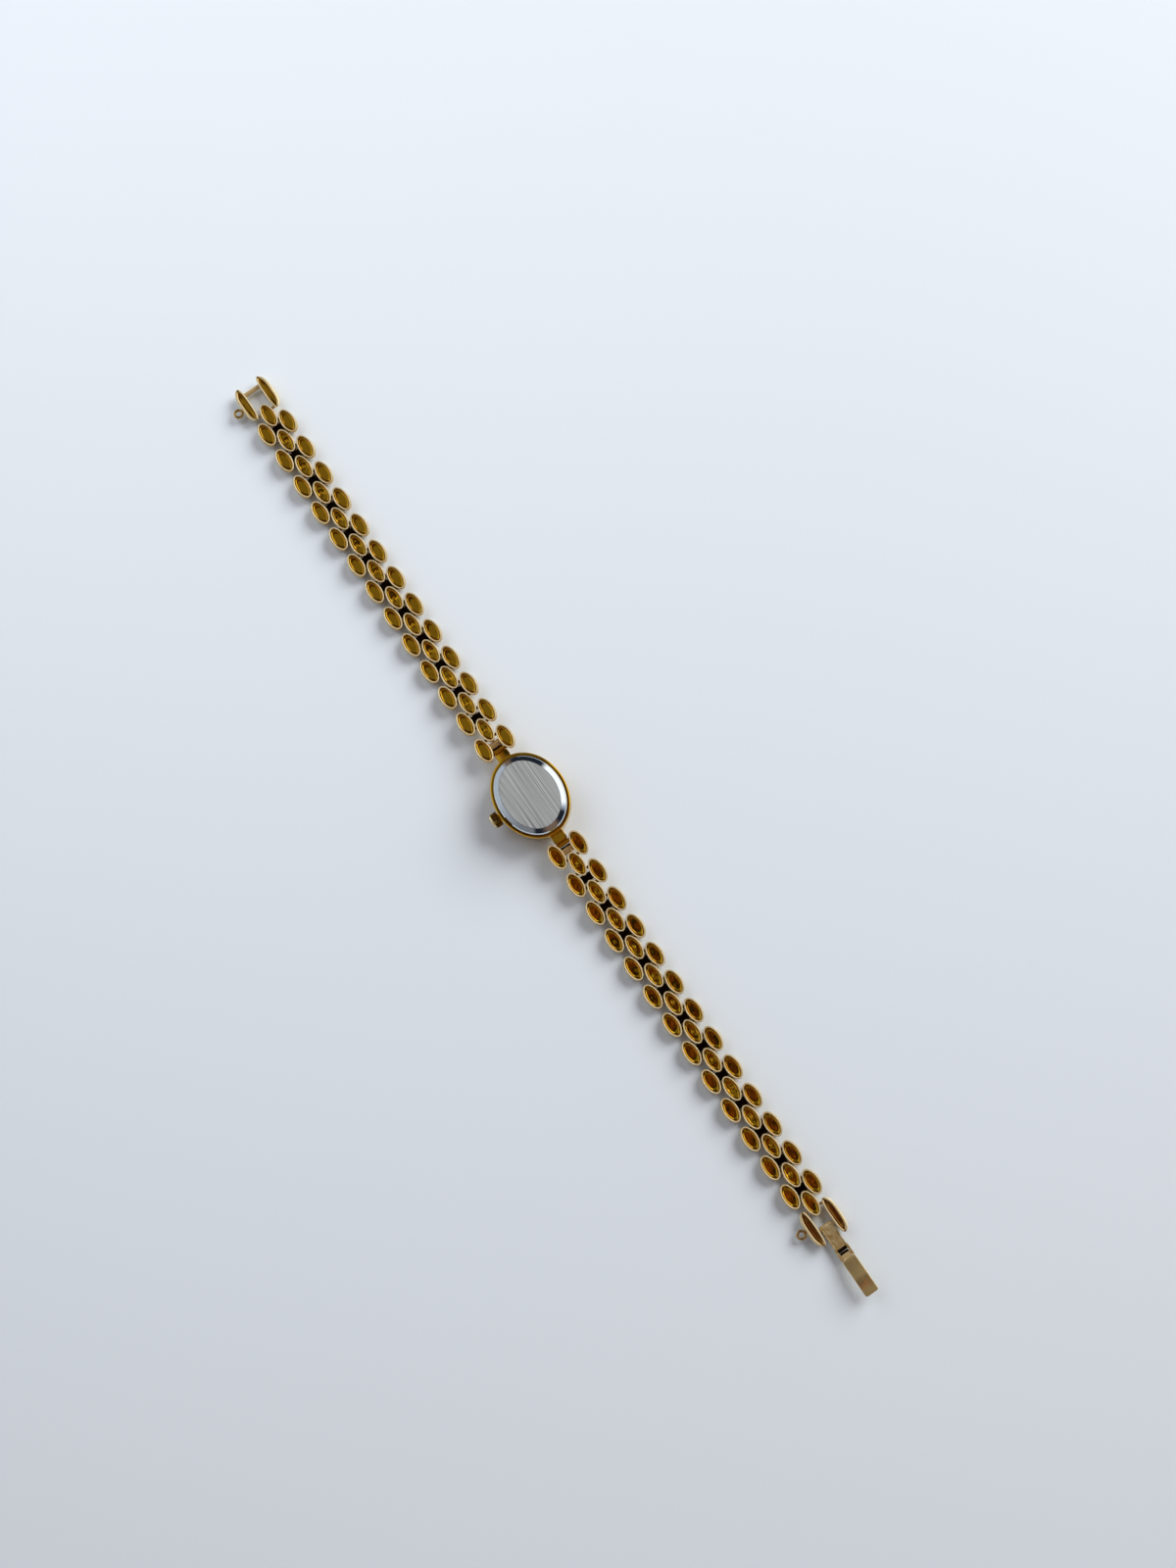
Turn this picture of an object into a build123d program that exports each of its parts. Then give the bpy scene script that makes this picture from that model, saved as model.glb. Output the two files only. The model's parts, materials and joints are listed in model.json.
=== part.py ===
from build123d import *
from math import asin, cos, degrees, hypot, radians, sin, sqrt
import os

# Small oval quartz watch on a bracelet of pressed grains, lying face down and opened out flat.
# +X runs along the bracelet to the 6 o'clock end, +Z goes up out of the case back, the crown is at -Y.
# The origin is the middle of the crystal's outer face, which rests on the table.
# All sizes are in millimetres and all angles in degrees.

# Bracelet
link_count = 13
pitch = 5.6
first_pair = 10.8
row_offset = 2.2
outer_length = 4.6
outer_width = 2.56
centre_length = 4.6
centre_width = 2.4
grain_height = 1.8
rim_width = 0.25
dish_depth = 0.6
outer_tilt = 7
pin_radius = 0.25
pin_height = 0.9
pin_reach = 1.9
running_gap = 0.03
cross_bar_radius = 0.35
cross_bar_reach = 1.3
sloping_links = 3

# Case, seen from the back
case_length = 15.2
case_width = 12.4
bezel_lift = 0.15
front_round = 1.2
back_round = 0.3
wall = 1.0
lug_height = 2.5
lug_width = 2.4
lug_thickness = 1.2
lug_knuckle_width = 2.1
lug_knuckle_radius = 0.52
lug_neck = 0.45
back_rim_inset = 0.55
back_bevel = 0.95
back_plate = 1.05
back_step = 0.15
plug_depth = 0.5
plug_wall = 0.5
gasket_width = 0.25
pry_notch_length = 1.6
pry_notch_depth = 0.3
pry_notch_height = 0.3
pry_notch_place = 1.7

# Crystal, dial and hands
bezel_width = 1.6
crystal_thickness = 0.9
crystal_bevel = 0.15
crystal_ledge = 0.4
seat_gap = 0.02
hand_space = 1.0
dial_thickness = 0.3
dial_hole = 0.55
marker_inset = 0.35
marker_length = 0.8
marker_width = 0.22
marker_height = 0.12
hand_thickness = 0.12
hand_hub = 0.5
hour_hand_margin = 2.1
minute_hand_margin = 1.0
hand_root_width = 0.42
hand_tip_width = 0.14
hand_clearance = 0.15
minutes_shown = 10
hours_shown = 10

# Movement
ring_wall = 0.8
plate_thickness = 0.55
motion_recess = 0.3
wheel_thickness = 0.15
level_pitch = 0.3
plate_gap = 0.08
bridge_thickness = 0.3
bridge_lift = 1.1
bridge_margin = 0.4
pillar_radius = 0.38
pivot_gap = 0.03
hour_tube_wall = 0.15
battery_thickness = 1.65
battery_clearance = 0.75
battery_margin = 0.25
battery_lift = 0.35
clamp_thickness = 0.12
clamp_width = 1.2
coil_radius = 0.5
coil_length = 2.9
coil_margin = 1.45
coil_core_radius = 0.2
stator_thickness = 0.2
rotor_radius = 0.5
rotor_gap = 0.15
circuit_thickness = 0.25
circuit_gap = 0.13
can_radius = 0.45
can_length = 2.8
can_margin = 0.9
screw_radius = 0.18
screw_head_radius = 0.32
screw_head_height = 0.15

# Train: the plate's length and the arbors' radii in modules, and the teeth counts
plate_modules = 232
arbor_modules = 2
cannon_modules = 3.6
post_modules = 1.4
rotor_teeth = 6
step_teeth = 36
step_pinion_teeth = 8
third_teeth = 40
third_pinion_teeth = 10
centre_teeth = 30
cannon_teeth = 10
minute_teeth = 30
minute_pinion_teeth = 8
hour_teeth = 32
third_direction = 206
step_direction = 240
rotor_direction = 180
motion_direction = 90
tooth_tip_share = 0.8
tooth_root_share = 1.0
tooth_tip_half_share = 0.12
tooth_root_half_share = 0.2

# Crown and stem
crown_radius = 1.3
crown_length = 1.2
crown_dome = 0.45
crown_gap = 0.12
crown_pull = 0.6
flute_count = 24
flute_radius = 0.11
stem_radius = 0.3
stem_height = 3.2
stem_inner = 1.9
stem_groove_radius = 0.2
stem_groove_width = 0.34
stem_groove_place = 2.6
tube_radius = 0.75
tube_length = 0.9
crown_ring_width = 0.18
lever_width = 1.8
lever_thickness = 0.3
lever_above = 0.47
bearing_thickness = 0.5
bearing_width = 1.4

# Clasp
end_reach = 5.1
end_lip = 0.75
ear_length = 6.5
ear_width = 1.9
ear_start = -0.65
ear_gap = 2.8
ear_wall = 0.28
ear_dish_depth = 0.7
ear_floor_share = 0.6
crossbar_radius = 0.42
crossbar_place = 4.55
tongue_pin_place = 3.5
eye_radius = 0.9
eye_hole_radius = 0.4
eye_thickness = 0.6
eye_reach = 0.85
eye_place = 2.35
eye_lift = 0.45
tongue_length = 5.6
tongue_width = 2.2
tongue_plate = 0.35
tongue_lobe_wall = 0.4
tongue_lobe_width = 2.5
tongue_lobe_radius = 0.5
tongue_lobe_length = 1.6
tongue_hook_gap = 1.05
tongue_knuckle_radius = 0.5
cover_length = 7.0
cover_width = 2.45
cover_thickness = 0.4
cover_knuckle_radius = 0.45
cover_pin_radius = 0.2
cover_rise = 1.4
cover_root_rise = 0.75
cover_crest_share = 0.62
cover_drop_share = 0.84
cover_lip_rise = 0.35
cover_bend = 0.5

# Sizes that follow from the case: the crystal, the hands, the flat of the back, the plate and what fills it
crystal_length = case_length - 2 * bezel_width
crystal_width = case_width - 2 * bezel_width
hour_hand_length = crystal_width / 2 - hour_hand_margin
minute_hand_length = crystal_width / 2 - minute_hand_margin
back_face_length = case_length - 2 * (back_rim_inset + back_bevel)
back_face_width = case_width - 2 * (back_rim_inset + back_bevel)
plate_length = case_length - 2 * (wall + ring_wall)
plate_width = case_width - 2 * (wall + ring_wall)
train_module = plate_length / plate_modules
arbor_radius = arbor_modules * train_module
cannon_radius = cannon_modules * train_module
post_radius = post_modules * train_module
battery_diameter = plate_length / 2 - battery_margin - battery_clearance
battery_place = battery_clearance + battery_diameter / 2
coil_place = plate_length / 2 - coil_margin
bearing_place = plate_width / 2 - bearing_thickness

# Heights of the stack, from the crystal's face up to the case back
dial_front = crystal_thickness + hand_space
plate_front = dial_front + dial_thickness
plate_back = plate_front + plate_thickness
level_a = plate_back + plate_gap
level_b = level_a + level_pitch
level_c = level_b + level_pitch
bridge_front = plate_back + bridge_lift
bridge_back = bridge_front + bridge_thickness
battery_front = plate_back + battery_lift
battery_back = battery_front + battery_thickness
clamp_back = battery_back + clamp_thickness
back_inner = clamp_back + pivot_gap
case_back_edge = back_inner + back_step
watch_height = back_inner + back_plate
minute_hand_front = crystal_thickness + hand_clearance
hour_hand_front = minute_hand_front + hand_thickness + hand_clearance


def cavity(extra):
    """Half length and half width of the room inside the case wall, grown by extra."""
    return case_length / 2 - wall + extra, case_width / 2 - wall + extra


def polar(start, direction, distance):
    """Point at a distance and direction in degrees from start."""
    angle = radians(direction)
    return start[0] + distance * cos(angle), start[1] + distance * sin(angle)


def mesh_distance(teeth_a, teeth_b):
    """Distance between the axes of two meshing wheels."""
    return train_module * (teeth_a + teeth_b) / 2


def oval_radius(half_length, half_width, direction):
    """Distance from the middle of an ellipse to its edge in a direction in degrees."""
    angle = radians(direction)
    return 1 / hypot(cos(angle) / half_length, sin(angle) / half_width)


def gear_points(teeth, direction):
    """Corners of a wheel with straight-sided teeth, its first tooth centred on direction."""
    root = train_module * (teeth / 2 - tooth_root_share)
    tip = train_module * (teeth / 2 + tooth_tip_share)
    corners = (
        (root, -tooth_root_half_share),
        (tip, -tooth_tip_half_share),
        (tip, tooth_tip_half_share),
        (root, tooth_root_half_share),
    )
    points = []
    for tooth in range(teeth):
        for radius, part_of_tooth in corners:
            angle = radians(direction + 360 * (tooth + part_of_tooth) / teeth)
            points.append((radius * cos(angle), radius * sin(angle)))
    return points


def save(shape, name):
    """Label a finished piece and write it as its own file."""
    shape.label = name
    export_step(shape, f"parts/{name}.step")


os.makedirs("parts", exist_ok=True)

# Places of the train's axes, each worked out from the wheel that it meshes with
centre_axis = (0, 0)
third_axis = polar(centre_axis, third_direction, mesh_distance(centre_teeth, third_pinion_teeth))
step_axis = polar(third_axis, step_direction, mesh_distance(third_teeth, step_pinion_teeth))
rotor_axis = polar(step_axis, rotor_direction, mesh_distance(step_teeth, rotor_teeth))
motion_axis = polar(centre_axis, motion_direction, mesh_distance(cannon_teeth, minute_teeth))

# Case body: an oval shell, open at the back, with a ledge for the crystal and two lug tongues
lug_outer = first_pair - pitch / 4
half_length = case_length / 2
half_width = case_width / 2
cavity_length, cavity_width = cavity(0)
crystal_half_length = crystal_length / 2
crystal_half_width = crystal_width / 2
lug_plate_end = lug_outer - lug_neck
with BuildPart() as case_body:
    with BuildSketch(Plane.XY.offset(bezel_lift)):
        Ellipse(half_length, half_width)
    extrude(amount=case_back_edge - bezel_lift)
    fillet(case_body.edges().group_by(Axis.Z)[0], front_round)
    fillet(case_body.edges().group_by(Axis.Z)[-1], back_round)
    with BuildSketch(Plane.XY.offset(lug_height - lug_thickness / 2)):
        Rectangle(2 * lug_plate_end, lug_width)
        Rectangle(2 * lug_outer, lug_knuckle_width)
    extrude(amount=lug_thickness)
    with BuildSketch(Plane.XZ.offset(-lug_knuckle_width / 2)):
        with Locations((lug_outer, lug_height), (-lug_outer, lug_height)):
            Circle(lug_knuckle_radius)
    extrude(amount=lug_knuckle_width)
    with BuildSketch(Plane.XZ.offset(-half_width)):
        with Locations((lug_outer, lug_height), (-lug_outer, lug_height)):
            Circle(pin_radius + running_gap)
    extrude(amount=case_width, mode=Mode.SUBTRACT)
    with BuildSketch(Plane.XY.offset(dial_front)):
        Ellipse(cavity_length, cavity_width)
    extrude(amount=watch_height, mode=Mode.SUBTRACT)
    with BuildSketch(Plane.XY.offset(crystal_thickness)):
        Ellipse(crystal_half_length - crystal_ledge, crystal_half_width - crystal_ledge)
    extrude(amount=hand_space, mode=Mode.SUBTRACT)
    with BuildSketch():
        Ellipse(crystal_half_length, crystal_half_width)
    extrude(amount=crystal_thickness, mode=Mode.SUBTRACT)
    with BuildSketch(Plane((0, -cavity_width, stem_height), x_dir=(1, 0, 0), z_dir=(0, -1, 0))):
        Circle(tube_radius)
    extrude(amount=wall + tube_length)
    with BuildSketch(Plane((0, -cavity_width + wall, stem_height), x_dir=(1, 0, 0), z_dir=(0, -1, 0))):
        Circle(stem_radius + running_gap)
    extrude(amount=3 * wall + tube_length, mode=Mode.SUBTRACT)
    with BuildSketch(Plane.XY.offset(dial_front)):
        Ellipse(cavity_length, cavity_width)
    extrude(amount=watch_height, mode=Mode.SUBTRACT)
save(case_body.part, "case_body")

# Crystal: a flat oval glass with a bevelled outer edge, seated in the front of the case
with BuildPart() as crystal:
    with BuildSketch():
        Ellipse(crystal_half_length - seat_gap, crystal_half_width - seat_gap)
    extrude(amount=crystal_thickness)
    chamfer(crystal.edges().group_by(Axis.Z)[0], crystal_bevel)
save(crystal.part, "crystal")

# Case back: a steel cap with a flat middle, a broad bevel, a plug rim and a notch to open it
rim_half_length = half_length - back_rim_inset
rim_half_width = half_width - back_rim_inset
plug_length, plug_width = cavity(-gasket_width)
with BuildPart() as case_back:
    with BuildSketch(Plane.XY.offset(case_back_edge)):
        Ellipse(rim_half_length, rim_half_width)
    with BuildSketch(Plane.XY.offset(watch_height)):
        Ellipse(back_face_length / 2, back_face_width / 2)
    loft(ruled=True)
    with BuildSketch(Plane.XY.offset(case_back_edge)):
        Ellipse(plug_length, plug_width)
        Ellipse(plug_length - plug_wall, plug_width - plug_wall, mode=Mode.SUBTRACT)
    extrude(amount=-plug_depth)
    with BuildSketch(Plane.XY.offset(case_back_edge)):
        Ellipse(plug_length - plug_wall, plug_width - plug_wall)
    extrude(amount=-back_step)
    notch_y = -rim_half_width * sqrt(1 - (pry_notch_place / rim_half_length) ** 2)
    with BuildSketch(Plane.XY.offset(case_back_edge)):
        with Locations((pry_notch_place, notch_y)):
            Rectangle(pry_notch_length, 2 * pry_notch_depth)
    extrude(amount=pry_notch_height, mode=Mode.SUBTRACT)
save(case_back.part, "case_back")

# Back gasket: an oval ring between the plug rim and the case wall
with BuildPart() as back_gasket:
    with BuildSketch(Plane.XY.offset(case_back_edge - plug_depth)):
        Ellipse(cavity_length, cavity_width)
        Ellipse(plug_length, plug_width, mode=Mode.SUBTRACT)
    extrude(amount=plug_depth)
save(back_gasket.part, "back_gasket")

# Dial: a thin oval plate against the ledge behind the crystal
dial_length, dial_width = cavity(-seat_gap)
with BuildPart() as dial:
    with BuildSketch(Plane.XY.offset(dial_front)):
        Ellipse(dial_length, dial_width)
        Circle(dial_hole, mode=Mode.SUBTRACT)
    extrude(amount=dial_thickness)
save(dial.part, "dial")

# Hour markers: twelve applied bars that point at the middle of the dial, 12 o'clock at -X
opening_length = crystal_half_length - crystal_ledge
opening_width = crystal_half_width - crystal_ledge
marker_ring_length = opening_length - marker_inset - marker_length / 2
marker_ring_width = opening_width - marker_inset - marker_length / 2
with BuildPart() as hour_markers:
    for hour in range(12):
        direction = 180 + 30 * hour
        reach = oval_radius(marker_ring_length, marker_ring_width, direction)
        spot = polar(centre_axis, direction, reach)
        with BuildSketch(Plane.XY.offset(dial_front)):
            with Locations(Location((spot[0], spot[1], 0), (0, 0, direction))):
                Rectangle(marker_length, marker_width)
        extrude(amount=-marker_height)
save(hour_markers.part, "hour_markers")


def hand_outline(direction, length):
    """Draw a tapered hand with a round hub and a short tail in the sketch that is open."""
    with Locations(Location((0, 0, 0), (0, 0, direction))):
        Polygon(
            (-hand_hub, hand_root_width / 2),
            (-hand_hub, -hand_root_width / 2),
            (length, -hand_tip_width / 2),
            (length, hand_tip_width / 2),
            align=None,
        )
    Circle(hand_hub)


# Hands: the hour hand nearer the dial on its tube, the minute hand in front of it on the cannon
minute_direction = 180 + 6 * minutes_shown
hour_direction = 180 + 30 * hours_shown + minutes_shown / 2
hour_tube_bore = cannon_radius + pivot_gap
hour_tube_radius = hour_tube_bore + hour_tube_wall
with BuildPart() as minute_hand:
    with BuildSketch(Plane.XY.offset(minute_hand_front)):
        hand_outline(minute_direction, minute_hand_length)
        Circle(cannon_radius, mode=Mode.SUBTRACT)
    extrude(amount=hand_thickness)
save(minute_hand.part, "minute_hand")

with BuildPart() as hour_hand:
    with BuildSketch(Plane.XY.offset(hour_hand_front)):
        hand_outline(hour_direction, hour_hand_length)
        Circle(hour_tube_radius, mode=Mode.SUBTRACT)
    extrude(amount=hand_thickness)
save(hour_hand.part, "hour_hand")

# Motion work between the dial and the main plate: hour wheel on the face side, minute wheel behind it
hour_wheel_front = plate_front + seat_gap
minute_wheel_front = hour_wheel_front + motion_recess / 2
motion_wheel = motion_recess / 2 - seat_gap - pivot_gap
with BuildPart() as hour_wheel:
    with BuildSketch(Plane.XY.offset(hour_wheel_front)):
        Polygon(*gear_points(hour_teeth, motion_direction), align=None)
        Circle(hour_tube_bore, mode=Mode.SUBTRACT)
    extrude(amount=motion_wheel)
    with BuildSketch(Plane.XY.offset(hour_hand_front)):
        Circle(hour_tube_radius)
        Circle(hour_tube_bore, mode=Mode.SUBTRACT)
    extrude(amount=hour_wheel_front + motion_wheel - hour_hand_front)
save(hour_wheel.part, "hour_wheel")

with BuildPart() as minute_wheel:
    with BuildSketch(Plane.XY.offset(minute_wheel_front)):
        with Locations(motion_axis):
            Polygon(*gear_points(minute_teeth, motion_direction + 180 + 180 / minute_teeth), align=None)
            Circle(post_radius + pivot_gap, mode=Mode.SUBTRACT)
    extrude(amount=motion_wheel)
    with BuildSketch(Plane.XY.offset(hour_wheel_front)):
        with Locations(motion_axis):
            gap_turn = motion_direction + 180 + 180 / minute_pinion_teeth
            Polygon(*gear_points(minute_pinion_teeth, gap_turn), align=None)
            Circle(post_radius + pivot_gap, mode=Mode.SUBTRACT)
    extrude(amount=minute_wheel_front - hour_wheel_front)
save(minute_wheel.part, "minute_wheel")

# Centre wheel: one piece with its arbor, which goes through the plate and the dial to the minute hand,
# and with the cannon pinion that drives the minute wheel
with BuildPart() as centre_wheel:
    with BuildSketch(Plane.XY.offset(level_a)):
        Polygon(*gear_points(centre_teeth, third_direction), align=None)
    extrude(amount=wheel_thickness)
    with BuildSketch(Plane.XY.offset(minute_hand_front)):
        Circle(cannon_radius)
    extrude(amount=level_a - minute_hand_front)
    with BuildSketch(Plane.XY.offset(level_a)):
        Circle(arbor_radius)
    extrude(amount=bridge_back - level_a)
    with BuildSketch(Plane.XY.offset(minute_wheel_front)):
        Polygon(*gear_points(cannon_teeth, motion_direction), align=None)
    extrude(amount=motion_wheel)
save(centre_wheel.part, "centre_wheel")


def wheel_and_pinion(axis, wheel_level, wheel_teeth, wheel_turn, pinion_level, pinion_teeth, pinion_turn):
    """A train wheel with its pinion on one arbor that runs from the main plate to the bridge."""
    with BuildPart() as mobile:
        with BuildSketch(Plane.XY.offset(wheel_level)):
            with Locations(axis):
                Polygon(*gear_points(wheel_teeth, wheel_turn), align=None)
        extrude(amount=wheel_thickness)
        with BuildSketch(Plane.XY.offset(pinion_level)):
            with Locations(axis):
                Polygon(*gear_points(pinion_teeth, pinion_turn), align=None)
        extrude(amount=level_pitch)
        with BuildSketch(Plane.XY.offset(plate_back - plate_thickness / 2)):
            with Locations(axis):
                Circle(arbor_radius)
        extrude(amount=bridge_back - plate_back + plate_thickness / 2)
    return mobile.part


third_wheel = wheel_and_pinion(
    third_axis,
    level_b,
    third_teeth,
    step_direction,
    level_a,
    third_pinion_teeth,
    third_direction + 180 + 180 / third_pinion_teeth,
)
save(third_wheel, "third_wheel")

step_wheel = wheel_and_pinion(
    step_axis,
    level_c,
    step_teeth,
    rotor_direction,
    level_b,
    step_pinion_teeth,
    step_direction + 180 + 180 / step_pinion_teeth,
)
save(step_wheel, "step_wheel")

# Rotor: a small round magnet with a pinion above it
with BuildPart() as rotor:
    with BuildSketch(Plane.XY.offset(level_a)):
        with Locations(rotor_axis):
            Circle(rotor_radius)
    extrude(amount=level_pitch)
    with BuildSketch(Plane.XY.offset(level_b)):
        with Locations(rotor_axis):
            Polygon(*gear_points(rotor_teeth, rotor_direction + 180 + 180 / rotor_teeth), align=None)
    extrude(amount=level_c + wheel_thickness - level_b)
    with BuildSketch(Plane.XY.offset(plate_back - plate_thickness / 2)):
        with Locations(rotor_axis):
            Circle(arbor_radius)
    extrude(amount=bridge_back - plate_back + plate_thickness / 2)
save(rotor.part, "rotor")

# Places of the bridge pillars, clear of the wheels between them
pillar_places = (
    (rotor_axis[0], rotor_axis[1] + 3 * rotor_radius + pillar_radius / 2),
    (step_axis[0] + arbor_radius, step_axis[1] - train_module * step_teeth / 2 - 3 * pillar_radius / 2),
)

# Main plate: an oval plate with pivot holes, the motion work's recess, bridge pillars and the stem bearing
recess_hour = train_module * hour_teeth / 2 + rotor_gap
recess_minute = train_module * minute_teeth / 2 + rotor_gap
with BuildPart() as main_plate:
    with BuildSketch(Plane.XY.offset(plate_front)):
        Ellipse(plate_length / 2, plate_width / 2)
    extrude(amount=plate_thickness)
    with BuildSketch(Plane.XY.offset(plate_front)):
        Circle(recess_hour)
        with Locations(motion_axis):
            Circle(recess_minute)
    extrude(amount=motion_recess, mode=Mode.SUBTRACT)
    with BuildSketch(Plane.XY.offset(plate_front + seat_gap)):
        with Locations(motion_axis):
            Circle(post_radius)
    extrude(amount=motion_recess)
    with BuildSketch(Plane.XY.offset(plate_front)):
        Circle(cannon_radius + pivot_gap)
    extrude(amount=plate_thickness, mode=Mode.SUBTRACT)
    with BuildSketch(Plane.XY.offset(plate_back - plate_thickness / 2)):
        with Locations(third_axis, step_axis, rotor_axis):
            Circle(arbor_radius + pivot_gap)
    extrude(amount=plate_thickness, mode=Mode.SUBTRACT)
    with BuildSketch(Plane.XY.offset(plate_back)):
        with Locations(*pillar_places):
            Circle(pillar_radius)
            Circle(screw_radius, mode=Mode.SUBTRACT)
    extrude(amount=bridge_lift)
    with BuildSketch(Plane((0, -bearing_place, plate_back), x_dir=(1, 0, 0), z_dir=(0, -1, 0))):
        with Locations((0, (stem_height + stem_radius - plate_back) / 2)):
            Rectangle(bearing_width, stem_height + stem_radius - plate_back)
    extrude(amount=bearing_thickness)
    with BuildSketch(Plane((0, -bearing_place, stem_height), x_dir=(1, 0, 0), z_dir=(0, -1, 0))):
        Circle(stem_radius + running_gap)
    extrude(amount=bearing_thickness, mode=Mode.SUBTRACT)
save(main_plate.part, "main_plate")

# Train bridge: one plate over the train and the rotor, carried on two pillars
with BuildPart() as train_bridge:
    with BuildSketch(Plane.XY.offset(bridge_front)):
        with Locations(centre_axis, third_axis, step_axis, rotor_axis, *pillar_places):
            Circle(bridge_margin)
        make_hull()
        with Locations(centre_axis, third_axis, step_axis, rotor_axis):
            Circle(arbor_radius + pivot_gap, mode=Mode.SUBTRACT)
        with Locations(*pillar_places):
            Circle(screw_radius, mode=Mode.SUBTRACT)
    extrude(amount=bridge_thickness)
save(train_bridge.part, "train_bridge")

# Plate screws: two that hold the bridge to its pillars
with BuildPart() as plate_screws:
    with BuildSketch(Plane.XY.offset(bridge_back)):
        with Locations(*pillar_places):
            Circle(screw_head_radius)
    extrude(amount=screw_head_height)
    with BuildSketch(Plane.XY.offset(plate_back)):
        with Locations(*pillar_places):
            Circle(screw_radius)
    extrude(amount=bridge_lift + bridge_thickness)
    with BuildSketch(Plane.XY.offset(bridge_back + screw_head_height / 2)):
        with Locations(*pillar_places):
            Rectangle(2 * screw_head_radius, screw_radius / 2)
    extrude(amount=screw_head_height, mode=Mode.SUBTRACT)
save(plate_screws.part, "plate_screws")

# Battery and the spring clamp that presses on it from the bridge
battery_radius = battery_diameter / 2
with BuildPart() as battery:
    with BuildSketch(Plane.XY.offset(battery_front)):
        with Locations((battery_place, 0)):
            Circle(battery_radius)
    extrude(amount=battery_thickness)
    fillet(battery.edges().group_by(Axis.Z)[0], clamp_thickness)
save(battery.part, "battery")

clamp_foot = battery_place - battery_radius - clamp_width / 2
with BuildPart() as battery_clamp:
    with BuildSketch(Plane.XY.offset(battery_back)):
        with Locations(((clamp_foot + battery_place) / 2, 0)):
            Rectangle(battery_place - clamp_foot, clamp_width)
    extrude(amount=clamp_thickness)
    with BuildSketch(Plane.XY.offset(bridge_back)):
        with Locations((clamp_foot + clamp_thickness / 2, 0)):
            Rectangle(clamp_thickness, clamp_width)
    extrude(amount=battery_back - bridge_back)
    with BuildSketch(Plane.XY.offset(bridge_back)):
        with Locations((clamp_foot - arbor_radius, 0)):
            Rectangle(clamp_width / 2, clamp_width)
        Circle(arbor_radius + pivot_gap, mode=Mode.SUBTRACT)
    extrude(amount=clamp_thickness)
save(battery_clamp.part, "battery_clamp")

# Stator: a C-shaped plate with the rotor's hole, its two ends under the coil's core
stator_reach = rotor_axis[0] + rotor_radius + 2 * rotor_gap + coil_place
stator_low = rotor_axis[1] - rotor_radius - 2 * rotor_gap
stator_band = 2 * (rotor_radius + 2 * rotor_gap)
with BuildPart() as stator:
    with BuildSketch(Plane.XY.offset(plate_back + seat_gap)):
        with Locations((-coil_place - coil_core_radius, stator_low)):
            Rectangle(stator_reach + coil_core_radius, stator_band, align=(Align.MIN, Align.MIN))
        with Locations((-coil_place - coil_core_radius, coil_length / 2)):
            Rectangle(2 * coil_radius + coil_core_radius, coil_radius, align=(Align.MIN, Align.MIN))
        with Locations((-coil_place + coil_radius, stator_low)):
            Rectangle(coil_radius, coil_length / 2 + coil_radius - stator_low, align=(Align.MIN, Align.MIN))
        with Locations(rotor_axis):
            Circle(rotor_radius + rotor_gap, mode=Mode.SUBTRACT)
    extrude(amount=stator_thickness)
save(stator.part, "stator")

# Coil: the winding with its core, whose ends rest on the stator
coil_height = plate_back + seat_gap + stator_thickness + coil_radius
coil_middle = (coil_length / 2 + coil_radius / 2 + stator_low + coil_radius) / 2
with BuildPart() as coil:
    with BuildSketch(Plane((-coil_place, coil_middle, coil_height), x_dir=(1, 0, 0), z_dir=(0, 1, 0))):
        Circle(coil_radius)
    extrude(amount=coil_length / 2, both=True)
    with BuildSketch(Plane((-coil_place, coil_middle, coil_height), x_dir=(1, 0, 0), z_dir=(0, 1, 0))):
        with Locations((0, coil_radius / 2)):
            Rectangle(2 * coil_core_radius, coil_radius)
    extrude(amount=coil_length / 2 + coil_radius / 2, both=True)
save(coil.part, "coil")

# Circuit board with the quartz can beside it
can_y = plate_width / 2 - can_margin - can_radius
circuit_width = can_y - can_radius - rotor_gap - recess_hour
circuit_length = coil_place - 2 * coil_radius - circuit_gap + pillar_radius
board_x = pillar_radius - circuit_length / 2
with BuildPart() as circuit_board:
    with BuildSketch(Plane.XY.offset(plate_back + seat_gap)):
        with Locations((board_x, recess_hour + circuit_width / 2)):
            Rectangle(circuit_length, circuit_width)
    extrude(amount=circuit_thickness)
save(circuit_board.part, "circuit_board")

can_start = (-can_length / 2, can_y, plate_back + can_radius + seat_gap)
with BuildPart() as quartz_can:
    with BuildSketch(Plane(can_start, x_dir=(0, 1, 0), z_dir=(1, 0, 0))):
        Circle(can_radius)
    extrude(amount=can_length / 2, both=True)
    fillet(quartz_can.edges().filter_by(GeomType.CIRCLE), crystal_bevel)
save(quartz_can.part, "quartz_can")

# Movement ring: holds the movement in the case and presses the dial against its ledge
ring_length, ring_width = cavity(-seat_gap)
with BuildPart() as movement_ring:
    with BuildSketch(Plane.XY.offset(plate_front)):
        Ellipse(ring_length, ring_width)
        Ellipse(plate_length / 2 + seat_gap, plate_width / 2 + seat_gap, mode=Mode.SUBTRACT)
    extrude(amount=case_back_edge - plug_depth - plate_front - seat_gap)
    with BuildSketch(Plane((0, 0, stem_height), x_dir=(1, 0, 0), z_dir=(0, -1, 0))):
        Circle(stem_radius + running_gap)
    extrude(amount=case_width, mode=Mode.SUBTRACT)
save(movement_ring.part, "movement_ring")

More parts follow.
